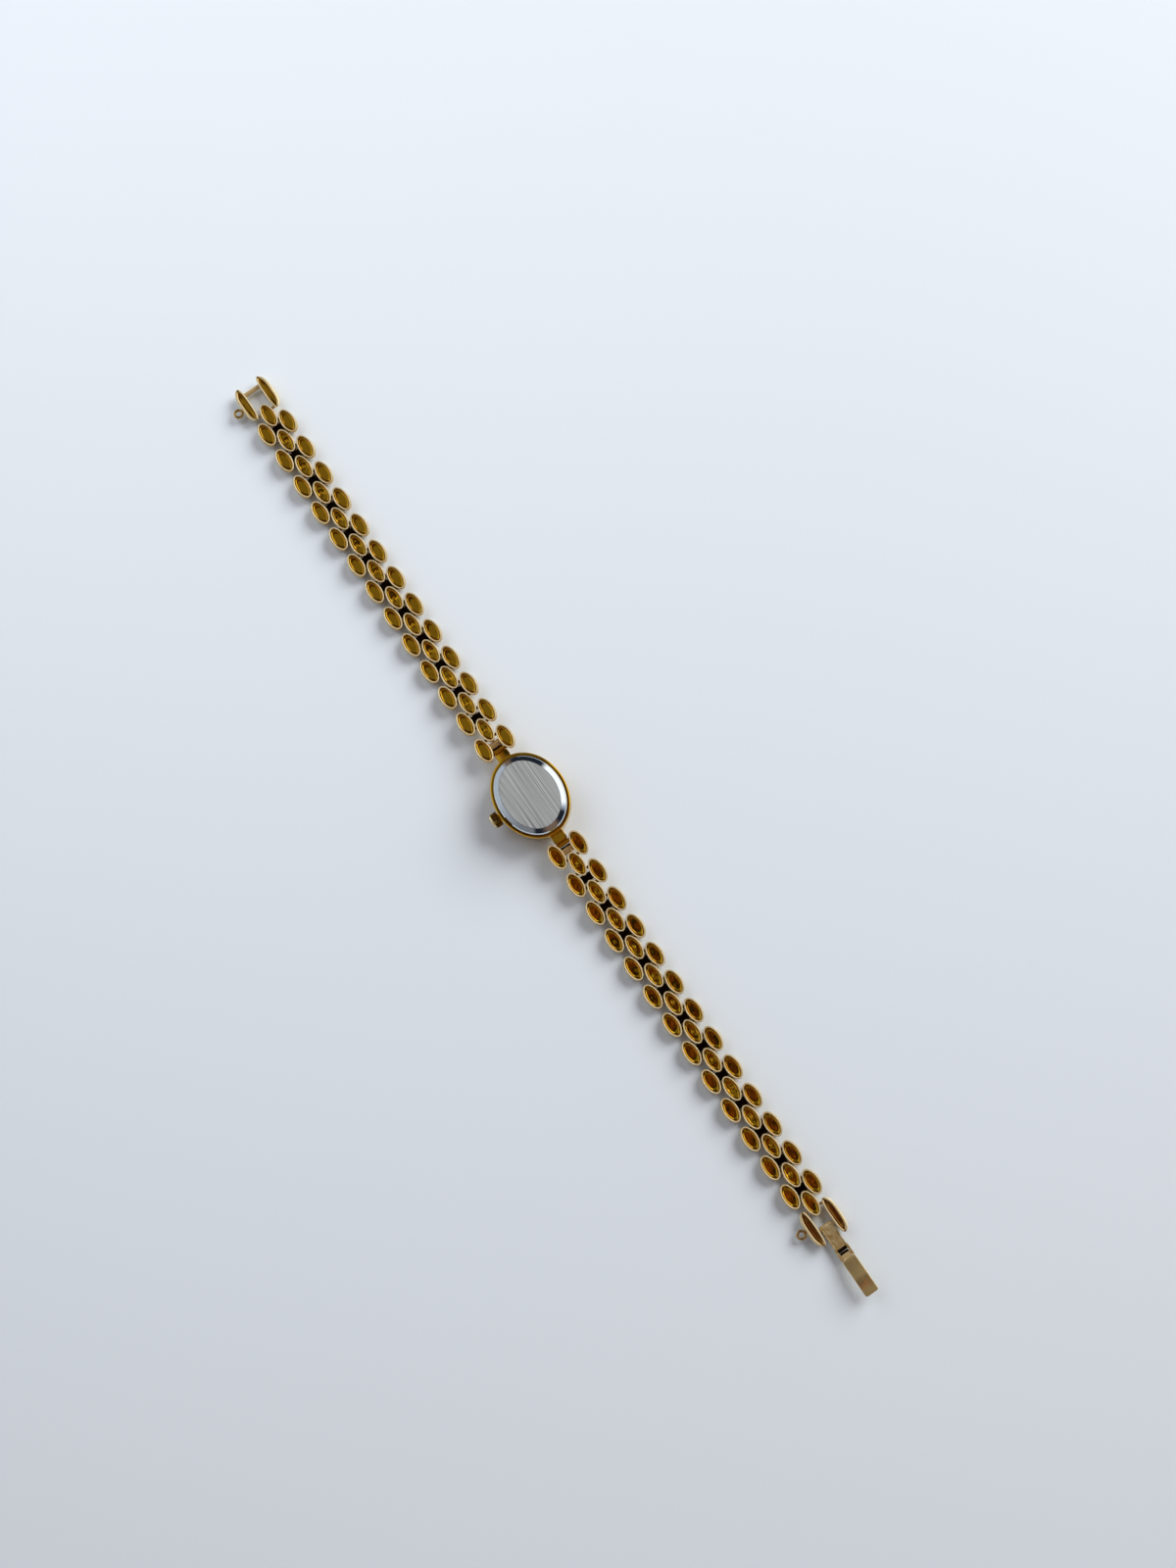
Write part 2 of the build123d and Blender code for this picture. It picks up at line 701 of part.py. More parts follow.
# Crown: a fluted button with a domed end, hollow behind to go over the case tube
crown_base = half_width + crown_gap
crown_plane = Plane((0, -crown_base, stem_height), x_dir=(1, 0, 0), z_dir=(0, -1, 0))
crown_bore = tube_radius + crown_ring_width
tube_end = tube_length - crown_gap + running_gap
with BuildPart() as crown:
    with BuildSketch(crown_plane):
        Circle(crown_radius)
        with PolarLocations(crown_radius, flute_count):
            Circle(flute_radius, mode=Mode.SUBTRACT)
    extrude(amount=crown_length)
    with BuildSketch(crown_plane.offset(crown_length)):
        Circle(crown_radius - flute_radius)
    extrude(amount=crown_dome)
    fillet(crown.edges().group_by(Axis.Y)[0], crown_dome - seat_gap)
    with BuildSketch(crown_plane):
        Circle(crown_bore)
    extrude(amount=tube_end, mode=Mode.SUBTRACT)
    with BuildSketch(crown_plane.offset(tube_end)):
        Circle(stem_radius)
    extrude(amount=crown_length / 4, mode=Mode.SUBTRACT)
save(crown.part, "crown")

with BuildPart() as crown_gasket:
    with BuildSketch(crown_plane.offset(crown_pull - crown_gap)):
        Circle(crown_bore)
        Circle(tube_radius + seat_gap, mode=Mode.SUBTRACT)
    extrude(amount=tube_end - crown_pull + crown_gap)
save(crown_gasket.part, "crown_gasket")

# Stem: a round rod with a groove for the setting lever, fixed in the crown
stem_plane = Plane((0, -stem_inner, stem_height), x_dir=(1, 0, 0), z_dir=(0, -1, 0))
groove_start = stem_groove_place - stem_groove_width / 2 - stem_inner
with BuildPart() as stem:
    with BuildSketch(stem_plane):
        Circle(stem_radius)
    extrude(amount=crown_base + tube_end + crown_length / 4 - stem_inner)
    with BuildSketch(stem_plane.offset(groove_start)):
        Circle(stem_radius)
        Circle(stem_groove_radius, mode=Mode.SUBTRACT)
    extrude(amount=stem_groove_width, mode=Mode.SUBTRACT)
save(stem.part, "stem")

# Setting lever: a small plate that stands in the stem's groove and slides with it
lever_plane = Plane((0, -stem_groove_place, plate_back + seat_gap), x_dir=(1, 0, 0), z_dir=(0, -1, 0))
lever_slot_height = stem_height - plate_back - seat_gap
lever_height = lever_slot_height + lever_above
with BuildPart() as setting_lever:
    with BuildSketch(lever_plane):
        with Locations((0, lever_height / 2)):
            Rectangle(lever_width, lever_height)
        with Locations((0, lever_slot_height)):
            Circle(stem_groove_radius + running_gap, mode=Mode.SUBTRACT)
        with Locations((0, lever_slot_height / 2)):
            Rectangle(2 * (stem_groove_radius + running_gap), lever_slot_height, mode=Mode.SUBTRACT)
    extrude(amount=lever_thickness / 2, both=True)
save(setting_lever.part, "setting_lever")


def grain(length, width, height):
    """A pressed grain: round below, a flat oval rim above and a dished hollow. Its axis is the X axis."""
    half_grain = length / 2
    radius = width / 2
    rim = height - radius
    inner_length = half_grain - rim_width
    inner_radius = radius - rim_width
    ball_sum = inner_radius ** 2 / dish_depth
    ball_radius = (ball_sum + dish_depth) / 2
    ball_lift = ball_radius - dish_depth
    ball_length = inner_length * ball_radius / inner_radius
    with BuildPart() as body:
        with BuildSketch(Plane.XZ):
            with BuildLine():
                lower = EllipticalCenterArc((0, 0), half_grain, radius, start_angle=180, arc_size=180)
                Line(lower @ 0, lower @ 1)
            make_face()
        revolve(axis=Axis.X)
        split(bisect_by=Plane.XY, keep=Keep.BOTTOM)
        with BuildSketch():
            Ellipse(half_grain, radius)
        extrude(amount=rim)
        dish_axis = Axis((0, 0, rim + ball_lift), (1, 0, 0))
        with BuildSketch(Plane((0, 0, rim + ball_lift), x_dir=(1, 0, 0), z_dir=(0, -1, 0))):
            with BuildLine():
                bowl = EllipticalCenterArc((0, 0), ball_length, ball_radius, start_angle=180, arc_size=180)
                Line(bowl @ 0, bowl @ 1)
            make_face()
        revolve(axis=dish_axis, mode=Mode.SUBTRACT)
    return body.part


def bar(place, radius, reach):
    """A round bar along Y at a place along the link, as long as twice its reach."""
    with BuildPart() as rod:
        with BuildSketch(Plane.XZ):
            with Locations((place, 0)):
                Circle(radius)
        extrude(amount=reach, both=True)
    return rod.part


# A link in its own frame: X along the bracelet, its hinge pin on the Y axis through the origin
outer_place = pitch / 4
second_pin = pitch / 2
centre_place = 3 * pitch / 4
outer_lift = outer_width / 2 - pin_height
centre_lift = centre_width / 2 - pin_height
outer_grain = grain(outer_length, outer_width, grain_height)
centre_grain = grain(centre_length, centre_width, grain_height)
hinge_pin = bar(0, pin_radius, pin_reach)
fixed_pin = bar(second_pin, pin_radius, pin_reach)

with BuildPart() as pair:
    for side in (1, -1):
        with Locations(Location((outer_place, side * row_offset, outer_lift), (side * outer_tilt, 0, 0))):
            add(outer_grain)
    add(bar(outer_place, cross_bar_radius, cross_bar_reach))
    add(hinge_pin, mode=Mode.SUBTRACT)
    add(fixed_pin, mode=Mode.SUBTRACT)

with BuildPart() as middle:
    with Locations((centre_place, 0, centre_lift)):
        add(centre_grain)
    add(fixed_pin, mode=Mode.SUBTRACT)
    add(bar(pitch, pin_radius + running_gap, pin_reach), mode=Mode.SUBTRACT)

with BuildPart() as end_middle:
    with Locations((centre_place, 0, centre_lift)):
        add(centre_grain)
    add(fixed_pin, mode=Mode.SUBTRACT)
    add(bar(end_reach, pin_radius + running_gap, pin_reach), mode=Mode.SUBTRACT)
    split(bisect_by=Plane.YZ.offset(end_reach + end_lip), keep=Keep.BOTTOM)


def link_places(turn):
    """Place of each link of one half, and last the place of its clasp frame.

    The first links run down from the lug to the table and the others lie flat on it. Each place's
    hinge is where the link before it ends. A turn of 180 makes the 12 o'clock half.
    """
    slope = degrees(asin((lug_height - pin_height) / (sloping_links * pitch)))
    reach = lug_outer
    height = lug_height
    places = []
    for number in range(link_count):
        lean = slope if number < sloping_links else 0
        step = pitch if number < link_count - 1 else end_reach
        places.append(Location((0, 0, 0), (0, 0, turn)) * Location((reach, 0, height), (0, lean, 0)))
        reach += step * cos(radians(lean))
        height -= step * sin(radians(lean))
    places.append(Location((0, 0, 0), (0, 0, turn)) * Location((reach, 0, height)))
    return places


halves = (("12h", link_places(180)), ("6h", link_places(0)))
for half_name, places in halves:
    for number in range(link_count):
        centre_piece = middle if number < link_count - 1 else end_middle
        pieces = (pair.part, centre_piece.part, hinge_pin, fixed_pin)
        link = Compound(children=[piece.moved(places[number]) for piece in pieces])
        save(link, f"link_{half_name}_{number + 1:02d}")


def ear(side):
    """One hollow ear of a clasp frame, straight on its inner side and round outside and below."""
    inner = side * ear_gap / 2
    outer = side * (ear_gap / 2 + ear_width)
    start = (ear_start, inner)
    end = (ear_start + ear_length, inner)
    middle_x = ear_start + ear_length / 2
    top = ear_width - pin_height
    floor_half = ear_floor_share * ear_length / 2
    with BuildPart() as shell:
        with BuildSketch(Plane.XY.offset(top)) as plan:
            with BuildLine():
                ThreePointArc(start, (middle_x, outer), end)
                Line(end, start)
            make_face()
        revolve(plan.sketch, axis=Axis((0, inner, top), (side, 0, 0)), revolution_arc=-90)
        with BuildSketch(Plane.XY.offset(top)):
            with BuildLine():
                rim_inner = inner + side * ear_wall
                rim_half = ear_length / 2 - 2 * ear_wall
                ThreePointArc(
                    (middle_x - rim_half, rim_inner),
                    (middle_x, outer - side * ear_wall),
                    (middle_x + rim_half, rim_inner),
                )
                Line((middle_x + rim_half, rim_inner), (middle_x - rim_half, rim_inner))
            make_face()
        with BuildSketch(Plane.XY.offset(top - ear_dish_depth)):
            with BuildLine():
                floor_inner = inner + 2 * side * ear_wall
                floor_outer = inner + side * ear_floor_share * ear_width
                ThreePointArc(
                    (middle_x - floor_half, floor_inner),
                    (middle_x, floor_outer),
                    (middle_x + floor_half, floor_inner),
                )
                Line((middle_x + floor_half, floor_inner), (middle_x - floor_half, floor_inner))
            make_face()
        loft(ruled=True, mode=Mode.SUBTRACT)
    return shell.part


def clasp_frame(bar_place, bar_radius, bar_fused):
    """Two ears with the hinge pin and the bar that the clasp closes on, in the frame's own place."""
    frame_pin = bar(0, pin_radius, pin_reach)
    cross = bar(bar_place, bar_radius, pin_reach)
    with BuildPart() as ears:
        add(ear(1))
        add(ear(-1))
        add(cross, mode=Mode.ADD if bar_fused else Mode.SUBTRACT)
        add(frame_pin, mode=Mode.SUBTRACT)
    pieces = [ears.part, frame_pin]
    if not bar_fused:
        pieces.append(cross)
    return pieces, ears.part


# Clasp frames: the 12 o'clock one has a fixed crossbar, the 6 o'clock one a pin for the tongue
frame_12_pieces, ears_12 = clasp_frame(crossbar_place, crossbar_radius, True)
frame_6_pieces, ears_6 = clasp_frame(tongue_pin_place, pin_radius, False)
frame_places = (halves[0][1][-1], halves[1][1][-1])
save(Compound(children=[piece.moved(frame_places[0]) for piece in frame_12_pieces]), "clasp_frame_12h")
save(Compound(children=[piece.moved(frame_places[1]) for piece in frame_6_pieces]), "clasp_frame_6h")


def chain_eye(ears, side):
    """A small flat ring soldered to the outer side of an ear, for a safety chain."""
    eye_y = side * (ear_gap / 2 + ear_width + eye_reach)
    eye_base = ear_width - pin_height - eye_lift - eye_thickness
    half_way = ear_gap / 2 + ear_width / 2
    kept = Keep.TOP if side < 0 else Keep.BOTTOM
    with BuildPart() as eye:
        with BuildSketch(Plane.XY.offset(eye_base)):
            with Locations((eye_place, eye_y)):
                Circle(eye_radius)
            with Locations((eye_place, eye_y - side * eye_radius)):
                Rectangle(eye_radius, eye_radius)
            with Locations((eye_place, eye_y)):
                Circle(eye_hole_radius, mode=Mode.SUBTRACT)
        extrude(amount=eye_thickness)
        add(ears, mode=Mode.SUBTRACT)
        split(bisect_by=Plane.XZ.offset(-side * half_way), keep=kept)
    return eye.part


# Both chain eyes are on the crown's side; the 12 o'clock frame is turned half round
save(chain_eye(ears_12, 1).moved(frame_places[0]), "chain_eye_12h")
save(chain_eye(ears_6, -1).moved(frame_places[1]), "chain_eye_6h")

# Clasp tongue: an inner plate with a knuckle on the frame's pin and two lobes that hold the cover's pin
tongue_start = tongue_pin_place
cover_axis = tongue_pin_place + tongue_length
plate_end = cover_axis - cover_knuckle_radius - tongue_hook_gap
lobe_start = cover_axis - tongue_lobe_length
tongue_top = tongue_knuckle_radius
with BuildPart() as clasp_tongue:
    with BuildSketch(Plane.XZ):
        with Locations((tongue_start, 0)):
            Circle(tongue_knuckle_radius)
        with Locations((tongue_start, tongue_top - tongue_plate)):
            Rectangle(plate_end - tongue_start, tongue_plate, align=(Align.MIN, Align.MIN))
    extrude(amount=tongue_width / 2, both=True)
    for side in (1, -1):
        lobe_y = side * (tongue_lobe_width - tongue_lobe_wall) / 2
        with BuildSketch(Plane.XZ.offset(-lobe_y)):
            with Locations((cover_axis, 0)):
                Circle(tongue_lobe_radius)
            with Locations((lobe_start, -tongue_lobe_radius)):
                Rectangle(tongue_lobe_length, 2 * tongue_lobe_radius, align=(Align.MIN, Align.MIN))
        extrude(amount=tongue_lobe_wall / 2, both=True)
    add(bar(tongue_start, pin_radius + running_gap, pin_reach), mode=Mode.SUBTRACT)
    add(bar(cover_axis, cover_pin_radius, pin_reach), mode=Mode.SUBTRACT)

# Clasp cover: a bowed plate with a stepped lip, turning on the pin held in the tongue's lobes
knuckle_width = tongue_lobe_width - 2 * tongue_lobe_wall - 2 * running_gap
cover_crest = cover_axis + cover_crest_share * cover_length
cover_drop = cover_axis + cover_drop_share * cover_length
with BuildPart() as clasp_cover:
    with BuildSketch(Plane.XZ):
        with BuildLine():
            FilletPolyline(
                (cover_axis + cover_knuckle_radius, cover_root_rise),
                (cover_crest, cover_rise),
                (cover_drop, cover_lip_rise),
                (cover_axis + cover_length, cover_lip_rise),
                radius=cover_bend,
            )
        trace(line_width=cover_thickness)
    extrude(amount=cover_width / 2, both=True)
    with BuildSketch(Plane.XZ):
        with Locations((cover_axis, 0)):
            Circle(cover_knuckle_radius)
        Polygon(
            (cover_axis, 0),
            (cover_axis + cover_knuckle_radius, 0),
            (cover_axis + 2 * cover_knuckle_radius, cover_root_rise),
            (cover_axis, cover_knuckle_radius),
            align=None,
        )
    extrude(amount=knuckle_width / 2, both=True)
    add(bar(cover_axis, cover_pin_radius + running_gap, pin_reach), mode=Mode.SUBTRACT)
cover_pin = bar(cover_axis, cover_pin_radius, tongue_lobe_width / 2)
tongue_pieces = (clasp_tongue.part, cover_pin)
save(Compound(children=[piece.moved(frame_places[1]) for piece in tongue_pieces]), "clasp_tongue")
save(clasp_cover.part.moved(frame_places[1]), "clasp_cover")
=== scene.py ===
"""Looks of a small oval watch on a bracelet of pressed gold grains, which lies face down and opened out."""

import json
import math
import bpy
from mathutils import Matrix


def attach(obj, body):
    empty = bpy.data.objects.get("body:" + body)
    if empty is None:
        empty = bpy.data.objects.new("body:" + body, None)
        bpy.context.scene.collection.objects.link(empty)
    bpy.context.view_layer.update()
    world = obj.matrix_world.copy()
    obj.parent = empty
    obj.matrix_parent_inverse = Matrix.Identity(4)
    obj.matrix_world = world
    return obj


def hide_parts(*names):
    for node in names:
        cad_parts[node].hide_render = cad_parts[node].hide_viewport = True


bl_info = {
    "name": "Oval bracelet watch",
    "version": (1, 0, 0),
    "blender": (4, 5, 0),
    "location": "View3D > Sidebar > Watch",
    "description": "Builds the case, bracelet and clasp of an oval watch around its fixed CAD frame",
    "category": "Object",
}

import bmesh
import bpy
import numpy as np
from bpy.props import FloatProperty, FloatVectorProperty, IntProperty, PointerProperty
from mathutils import Matrix, Vector

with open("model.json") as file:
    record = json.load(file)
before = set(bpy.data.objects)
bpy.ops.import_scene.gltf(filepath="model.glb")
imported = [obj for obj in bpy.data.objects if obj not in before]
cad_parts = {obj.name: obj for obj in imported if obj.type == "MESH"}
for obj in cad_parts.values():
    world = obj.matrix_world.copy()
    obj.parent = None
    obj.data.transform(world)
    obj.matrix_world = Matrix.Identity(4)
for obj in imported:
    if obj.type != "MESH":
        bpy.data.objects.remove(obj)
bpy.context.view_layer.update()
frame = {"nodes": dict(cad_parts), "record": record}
joints = {joint["name"]: joint for joint in frame["record"]["behaviour"]["joints"]}

# Shapes are worked out in millimetres; the scene is in metres
MM = 0.001

# Hinge pins of the links and clasp frames, and how far they reach to either side
PIN_RADIUS = 0.25
PIN_REACH = 1.9

# Tone of a point: 0 is the pale gold of a rim, partly a painted highlight, 1 the deep gold of a hollow,
# partly a painted shade, and above 1 it turns to a dark brown painted shade
# Sides and bellies lie between rim and hollow in tone: a painted shade on the walls
SIDE_TONE = 0.6
# Tone and colour of the painted shade in gaps, recesses and at the feet of rims
PAINTED_SHADE_TONE = 2.0
PAINTED_SHADE = (0.018, 0.011, 0.006)


# Sizes and colours that a user would change


class WatchColours(bpy.types.PropertyGroup):
    # Pale worn gold on rims, which is partly a painted highlight
    rim: FloatVectorProperty(
        name="Rim gold", description="Worn, paler gold on rims and round backs",
        subtype="COLOR", default=(0.97, 0.80, 0.46), min=0, max=1,
    )
    # Deep gold in hollows, which is partly a painted shade
    hollow: FloatVectorProperty(
        name="Hollow gold", description="Deeper gold inside the hollows",
        subtype="COLOR", default=(0.74, 0.41, 0.025), min=0, max=1,
    )
    # Painted reflection: a darker, warmer copy of the hollow gold for the ears of the 6 o'clock frame
    amber: FloatVectorProperty(
        name="Amber gold", description="Warmer gold inside the ears of the 6 o'clock clasp frame",
        subtype="COLOR", default=(0.58, 0.27, 0.045), min=0, max=1,
    )
    # Dark colour of the painted reflection in patches over the crown's gold
    shade: FloatVectorProperty(
        name="Toned gold", description="Darkest tone that the crown's gold has taken",
        subtype="COLOR", default=(0.07, 0.033, 0.01), min=0, max=1,
    )
    case: FloatVectorProperty(
        name="Case gold", description="Deep yellow gold of the case",
        subtype="COLOR", default=(0.74, 0.42, 0.03), min=0, max=1,
    )
    steel: FloatVectorProperty(
        name="Back steel", description="Brushed steel of the case back",
        subtype="COLOR", default=(0.585, 0.635, 0.675), min=0, max=1,
    )
    floor: FloatVectorProperty(
        name="Floor", description="Pale table top",
        subtype="COLOR", default=(0.80, 0.875, 0.95), min=0, max=1,
    )


class BraceletSizes(bpy.types.PropertyGroup):
    pitch: FloatProperty(name="Pitch", description="Length of one link", default=5.6 * MM, unit="LENGTH")
    row_offset: FloatProperty(
        name="Row offset", description="Middle line to the middle of an outer grain",
        default=2.2 * MM, unit="LENGTH",
    )
    grain_length: FloatProperty(
        name="Grain length", description="Tip to tip", default=4.6 * MM, unit="LENGTH"
    )
    outer_width: FloatProperty(
        name="Outer width", description="Width of an outer grain", default=2.56 * MM, unit="LENGTH"
    )
    centre_width: FloatProperty(
        name="Centre width", description="Width of a centre grain", default=2.4 * MM, unit="LENGTH"
    )
    grain_height: FloatProperty(
        name="Grain height", description="Back to rim", default=1.8 * MM, unit="LENGTH"
    )
    rim_width: FloatProperty(
        name="Rim width", description="Width of the rolled rim", default=0.3 * MM, unit="LENGTH"
    )
    hollow_depth: FloatProperty(
        name="Hollow depth", description="Rim to the hollow's floor", default=0.36 * MM, unit="LENGTH"
    )
    point: FloatProperty(
        name="Point", description="Power of the grain's outline, 2 for an ellipse", default=1.92
    )
    tilt: FloatProperty(
        name="Tilt", description="Lean of the outer grains", default=math.radians(7), subtype="ANGLE"
    )
    pin_height: FloatProperty(
        name="Pin height", description="Pin above the table", default=0.9 * MM, unit="LENGTH"
    )
    ripple: FloatProperty(
        name="Ripple", description="Unevenness of a hollow's floor", default=0.03 * MM, unit="LENGTH"
    )
    seed: IntProperty(name="Seed", description="Start of the small differences between grains", default=7)


class CaseSizes(bpy.types.PropertyGroup):
    length: FloatProperty(
        name="Case length", description="Along the bracelet", default=15.2 * MM, unit="LENGTH"
    )
    width: FloatProperty(
        name="Case width", description="Across the bracelet", default=12.4 * MM, unit="LENGTH"
    )
    back_edge: FloatProperty(
        name="Back edge", description="Height of the case's rear edge", default=5.05 * MM, unit="LENGTH"
    )
    back_top: FloatProperty(
        name="Back top", description="Height of the back's flat middle", default=5.95 * MM, unit="LENGTH"
    )
    flat_length: FloatProperty(
        name="Flat length", description="Flat middle of the back", default=12.2 * MM, unit="LENGTH"
    )
    flat_width: FloatProperty(
        name="Flat width", description="Flat middle of the back", default=9.4 * MM, unit="LENGTH"
    )
    crown_radius: FloatProperty(
        name="Crown radius", description="Over the flutes", default=1.3 * MM, unit="LENGTH"
    )
    flutes: IntProperty(name="Flutes", description="Grooves round the crown", default=24)


class ClaspSizes(bpy.types.PropertyGroup):
    ear_length: FloatProperty(
        name="Ear length", description="Along the bracelet", default=6.5 * MM, unit="LENGTH"
    )
    ear_width: FloatProperty(name="Ear width", description="At its middle", default=1.9 * MM, unit="LENGTH")
    ear_gap: FloatProperty(
        name="Ear gap", description="Between the two ears", default=2.8 * MM, unit="LENGTH"
    )
    cover_length: FloatProperty(
        name="Cover length", description="From its pin to its lip", default=7.0 * MM, unit="LENGTH"
    )
    cover_width: FloatProperty(
        name="Cover width", description="Across the bracelet", default=2.45 * MM, unit="LENGTH"
    )


class StageSettings(bpy.types.PropertyGroup):
    window_power: FloatProperty(
        name="Window power", description="Soft lamp at the upper right", default=7.05, unit="POWER"
    )
    window_size: FloatProperty(
        name="Window size", description="Side of the soft lamp", default=0.56, unit="LENGTH"
    )
    fill_power: FloatProperty(
        name="Fill power", description="Weak lamp at the upper left", default=0.4, unit="POWER"
    )
    lens: FloatProperty(name="Lens", description="Focal length", default=45, unit="CAMERA")


def millimetres(group, name):
    """A length of a property group in millimetres."""
    return getattr(group, name) / MM


# Surfaces: rings of points joined into closed skins


def oval(half_length, half_width, power, count):
    """Superellipse: x = a |cos t|^(2/p) and y = b |sin t|^(2/p), each with its sign, t once round."""
    t = np.linspace(0, 2 * np.pi, count, endpoint=False)
    c, s = np.cos(t), np.sin(t)
    x = half_length * np.sign(c) * np.abs(c) ** (2 / power)
    y = half_width * np.sign(s) * np.abs(s) ** (2 / power)
    return np.stack([x, y], axis=-1)


def oval_rings(half_lengths, half_widths, heights, power=2.0, count=96):
    """Rings of one superellipse scaled to each pair of half axes and lifted to each height."""
    unit = oval(1, 1, power, count)
    flat = unit[None] * np.stack([half_lengths, half_widths], axis=-1)[:, None]
    lift = np.broadcast_to(np.asarray(heights)[:, None, None], flat.shape[:2] + (1,))
    return np.concatenate([flat, lift], axis=-1)


def soften(rings, times=2):
    """Cut the corners of closed rings: points at a quarter and three quarters of every side, and again."""
    for _ in range(times):
        after = np.roll(rings, -1, axis=1)
        cut = np.stack([0.75 * rings + 0.25 * after, 0.25 * rings + 0.75 * after], axis=2)
        rings = cut.reshape(rings.shape[0], -1, rings.shape[2])
    return rings


def soften_path(path, times=3):
    """Cut the corners of an open path in the same way and keep its two ends."""
    for _ in range(times):
        cut = np.stack([0.75 * path[:-1] + 0.25 * path[1:], 0.25 * path[:-1] + 0.75 * path[1:]], axis=1)
        path = np.concatenate([path[:1], cut.reshape(-1, path.shape[1]), path[-1:]])
    return path


def rounded_box(half_y, half_z, radius, steps=4):
    """Outline of a rectangle with corners of a quarter circle each, as y and z."""
    turn = np.linspace(0, np.pi / 2, steps)
    corners = []
    for quarter, (sy, sz) in enumerate(((1, 1), (-1, 1), (-1, -1), (1, -1))):
        angle = turn + quarter * np.pi / 2
        y = sy * (half_y - radius) + radius * np.cos(angle)
        z = sz * (half_z - radius) + radius * np.sin(angle)
        corners.append(np.stack([y, z], axis=-1))
    return np.concatenate(corners)


def painted_shade_on_top(rings, z, tone):
    """Tone of each point of a bar: a painted shade stays on its upper side, and below its middle height is
    gold.
    """
    return np.where(np.asarray(rings)[..., 2] < z - 1e-6, min(tone, SIDE_TONE), tone)


class Skin:
    """Closed surfaces collected for one piece, in millimetres, each point with its tone."""

    def __init__(self):
        self.points = []
        self.tones = []
        self.faces = []
        self.count = 0

    def wrap(self, rings, tones=0.0, place=None, loop=False):
        """Join each ring to the next with quads. Fans close the two ends, or else a loop joins them.

        The tones are one for all points, one for each ring, or one for each point.
        """
        rings = np.asarray(rings, dtype=float)
        rows, columns = rings.shape[:2]
        tones = np.asarray(tones, dtype=float)
        tones = np.broadcast_to(tones[:, None] if tones.ndim == 1 else tones, (rows, columns))
        flat = rings.reshape(-1, 3)
        tone = tones.reshape(-1)
        index = self.count + np.arange(rows * columns).reshape(rows, columns)
        following = np.roll(index, -1, axis=0) if loop else index[1:]
        start = index if loop else index[:-1]
        across = [start, np.roll(start, -1, axis=1), np.roll(following, -1, axis=1), following]
        self.faces += np.stack(across, axis=-1).reshape(-1, 4).tolist()
        if not loop:
            hubs = rings[[0, -1]].mean(axis=1)
            flat = np.concatenate([flat, hubs])
            tone = np.concatenate([tone, tones[[0, -1]].mean(axis=1)])
            hub = self.count + rows * columns
            first, last = index[0], index[-1]
            fans = ((hub, np.roll(first, -1), first), (hub + 1, last, np.roll(last, -1)))
            for middle, one, other in fans:
                self.faces += np.stack([np.full(columns, middle), one, other], axis=-1).tolist()
        if place is not None:
            turn = np.array(place)
            flat = flat @ turn[:3, :3].T + turn[:3, 3]
        self.points.append(flat)
        self.tones.append(tone)
        self.count += len(flat)

    def rod(self, x, z, radius, reach, tone=0.0, place=None, bevel=0.06, count=28, broad=1.0):
        """Bar along Y: circles of one radius, broadened along X and drawn in by a bevel at both ends."""
        along = np.array([-reach, -reach + bevel, reach - bevel, reach])
        radii = np.array([radius - bevel, radius, radius, radius - bevel])
        t = np.linspace(0, 2 * np.pi, count, endpoint=False)
        rings = np.stack(
            [
                x + broad * radii[:, None] * np.cos(t),
                np.repeat(along[:, None], count, axis=1),
                z + radii[:, None] * np.sin(t),
            ],
            axis=-1,
        )
        self.wrap(rings, painted_shade_on_top(rings, z, tone), place)

    def slab(self, start, end, z, half_y, half_z, radius, y=0.0, tone=0.0, place=None):
        """Box along X with rounded edges: a rounded outline, drawn in by a quarter circle at both ends."""
        turn = np.linspace(0, np.pi / 2, 4)
        inset = np.concatenate([radius * (1 - np.sin(turn)), radius * (1 - np.cos(turn))])
        along = np.concatenate([start + radius * (1 - np.cos(turn)), end - radius * (1 - np.sin(turn))])
        rings = []
        for place_x, drawn in zip(along, inset):
            outline = rounded_box(half_y - drawn, half_z - drawn, max(radius - drawn, radius / 5))
            station = np.full((len(outline), 1), place_x)
            rings.append(np.concatenate([station, outline + (y, z)], axis=-1))
        self.wrap(rings, painted_shade_on_top(rings, z, tone), place)


def dress(name, skin, finish, body, nodes, crease=38):
    """Make the skin into a smooth mesh piece that rides on a body in place of its CAD nodes."""
    mesh = bpy.data.meshes.new(name)
    mesh.from_pydata(np.concatenate(skin.points) * MM, [], skin.faces)
    tone = mesh.attributes.new("tone", "FLOAT", "POINT")
    tone.data.foreach_set("value", np.concatenate(skin.tones))
    work = bmesh.new()
    work.from_mesh(mesh)
    bmesh.ops.recalc_face_normals(work, faces=work.faces)
    work.to_mesh(mesh)
    work.free()
    mesh.shade_smooth()
    mesh.set_sharp_from_angle(angle=math.radians(crease))
    mesh.materials.append(finish)
    piece = bpy.data.objects.new(name, mesh)
    bpy.context.scene.collection.objects.link(piece)
    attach(piece, body)
    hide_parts(*nodes)


# Finishes


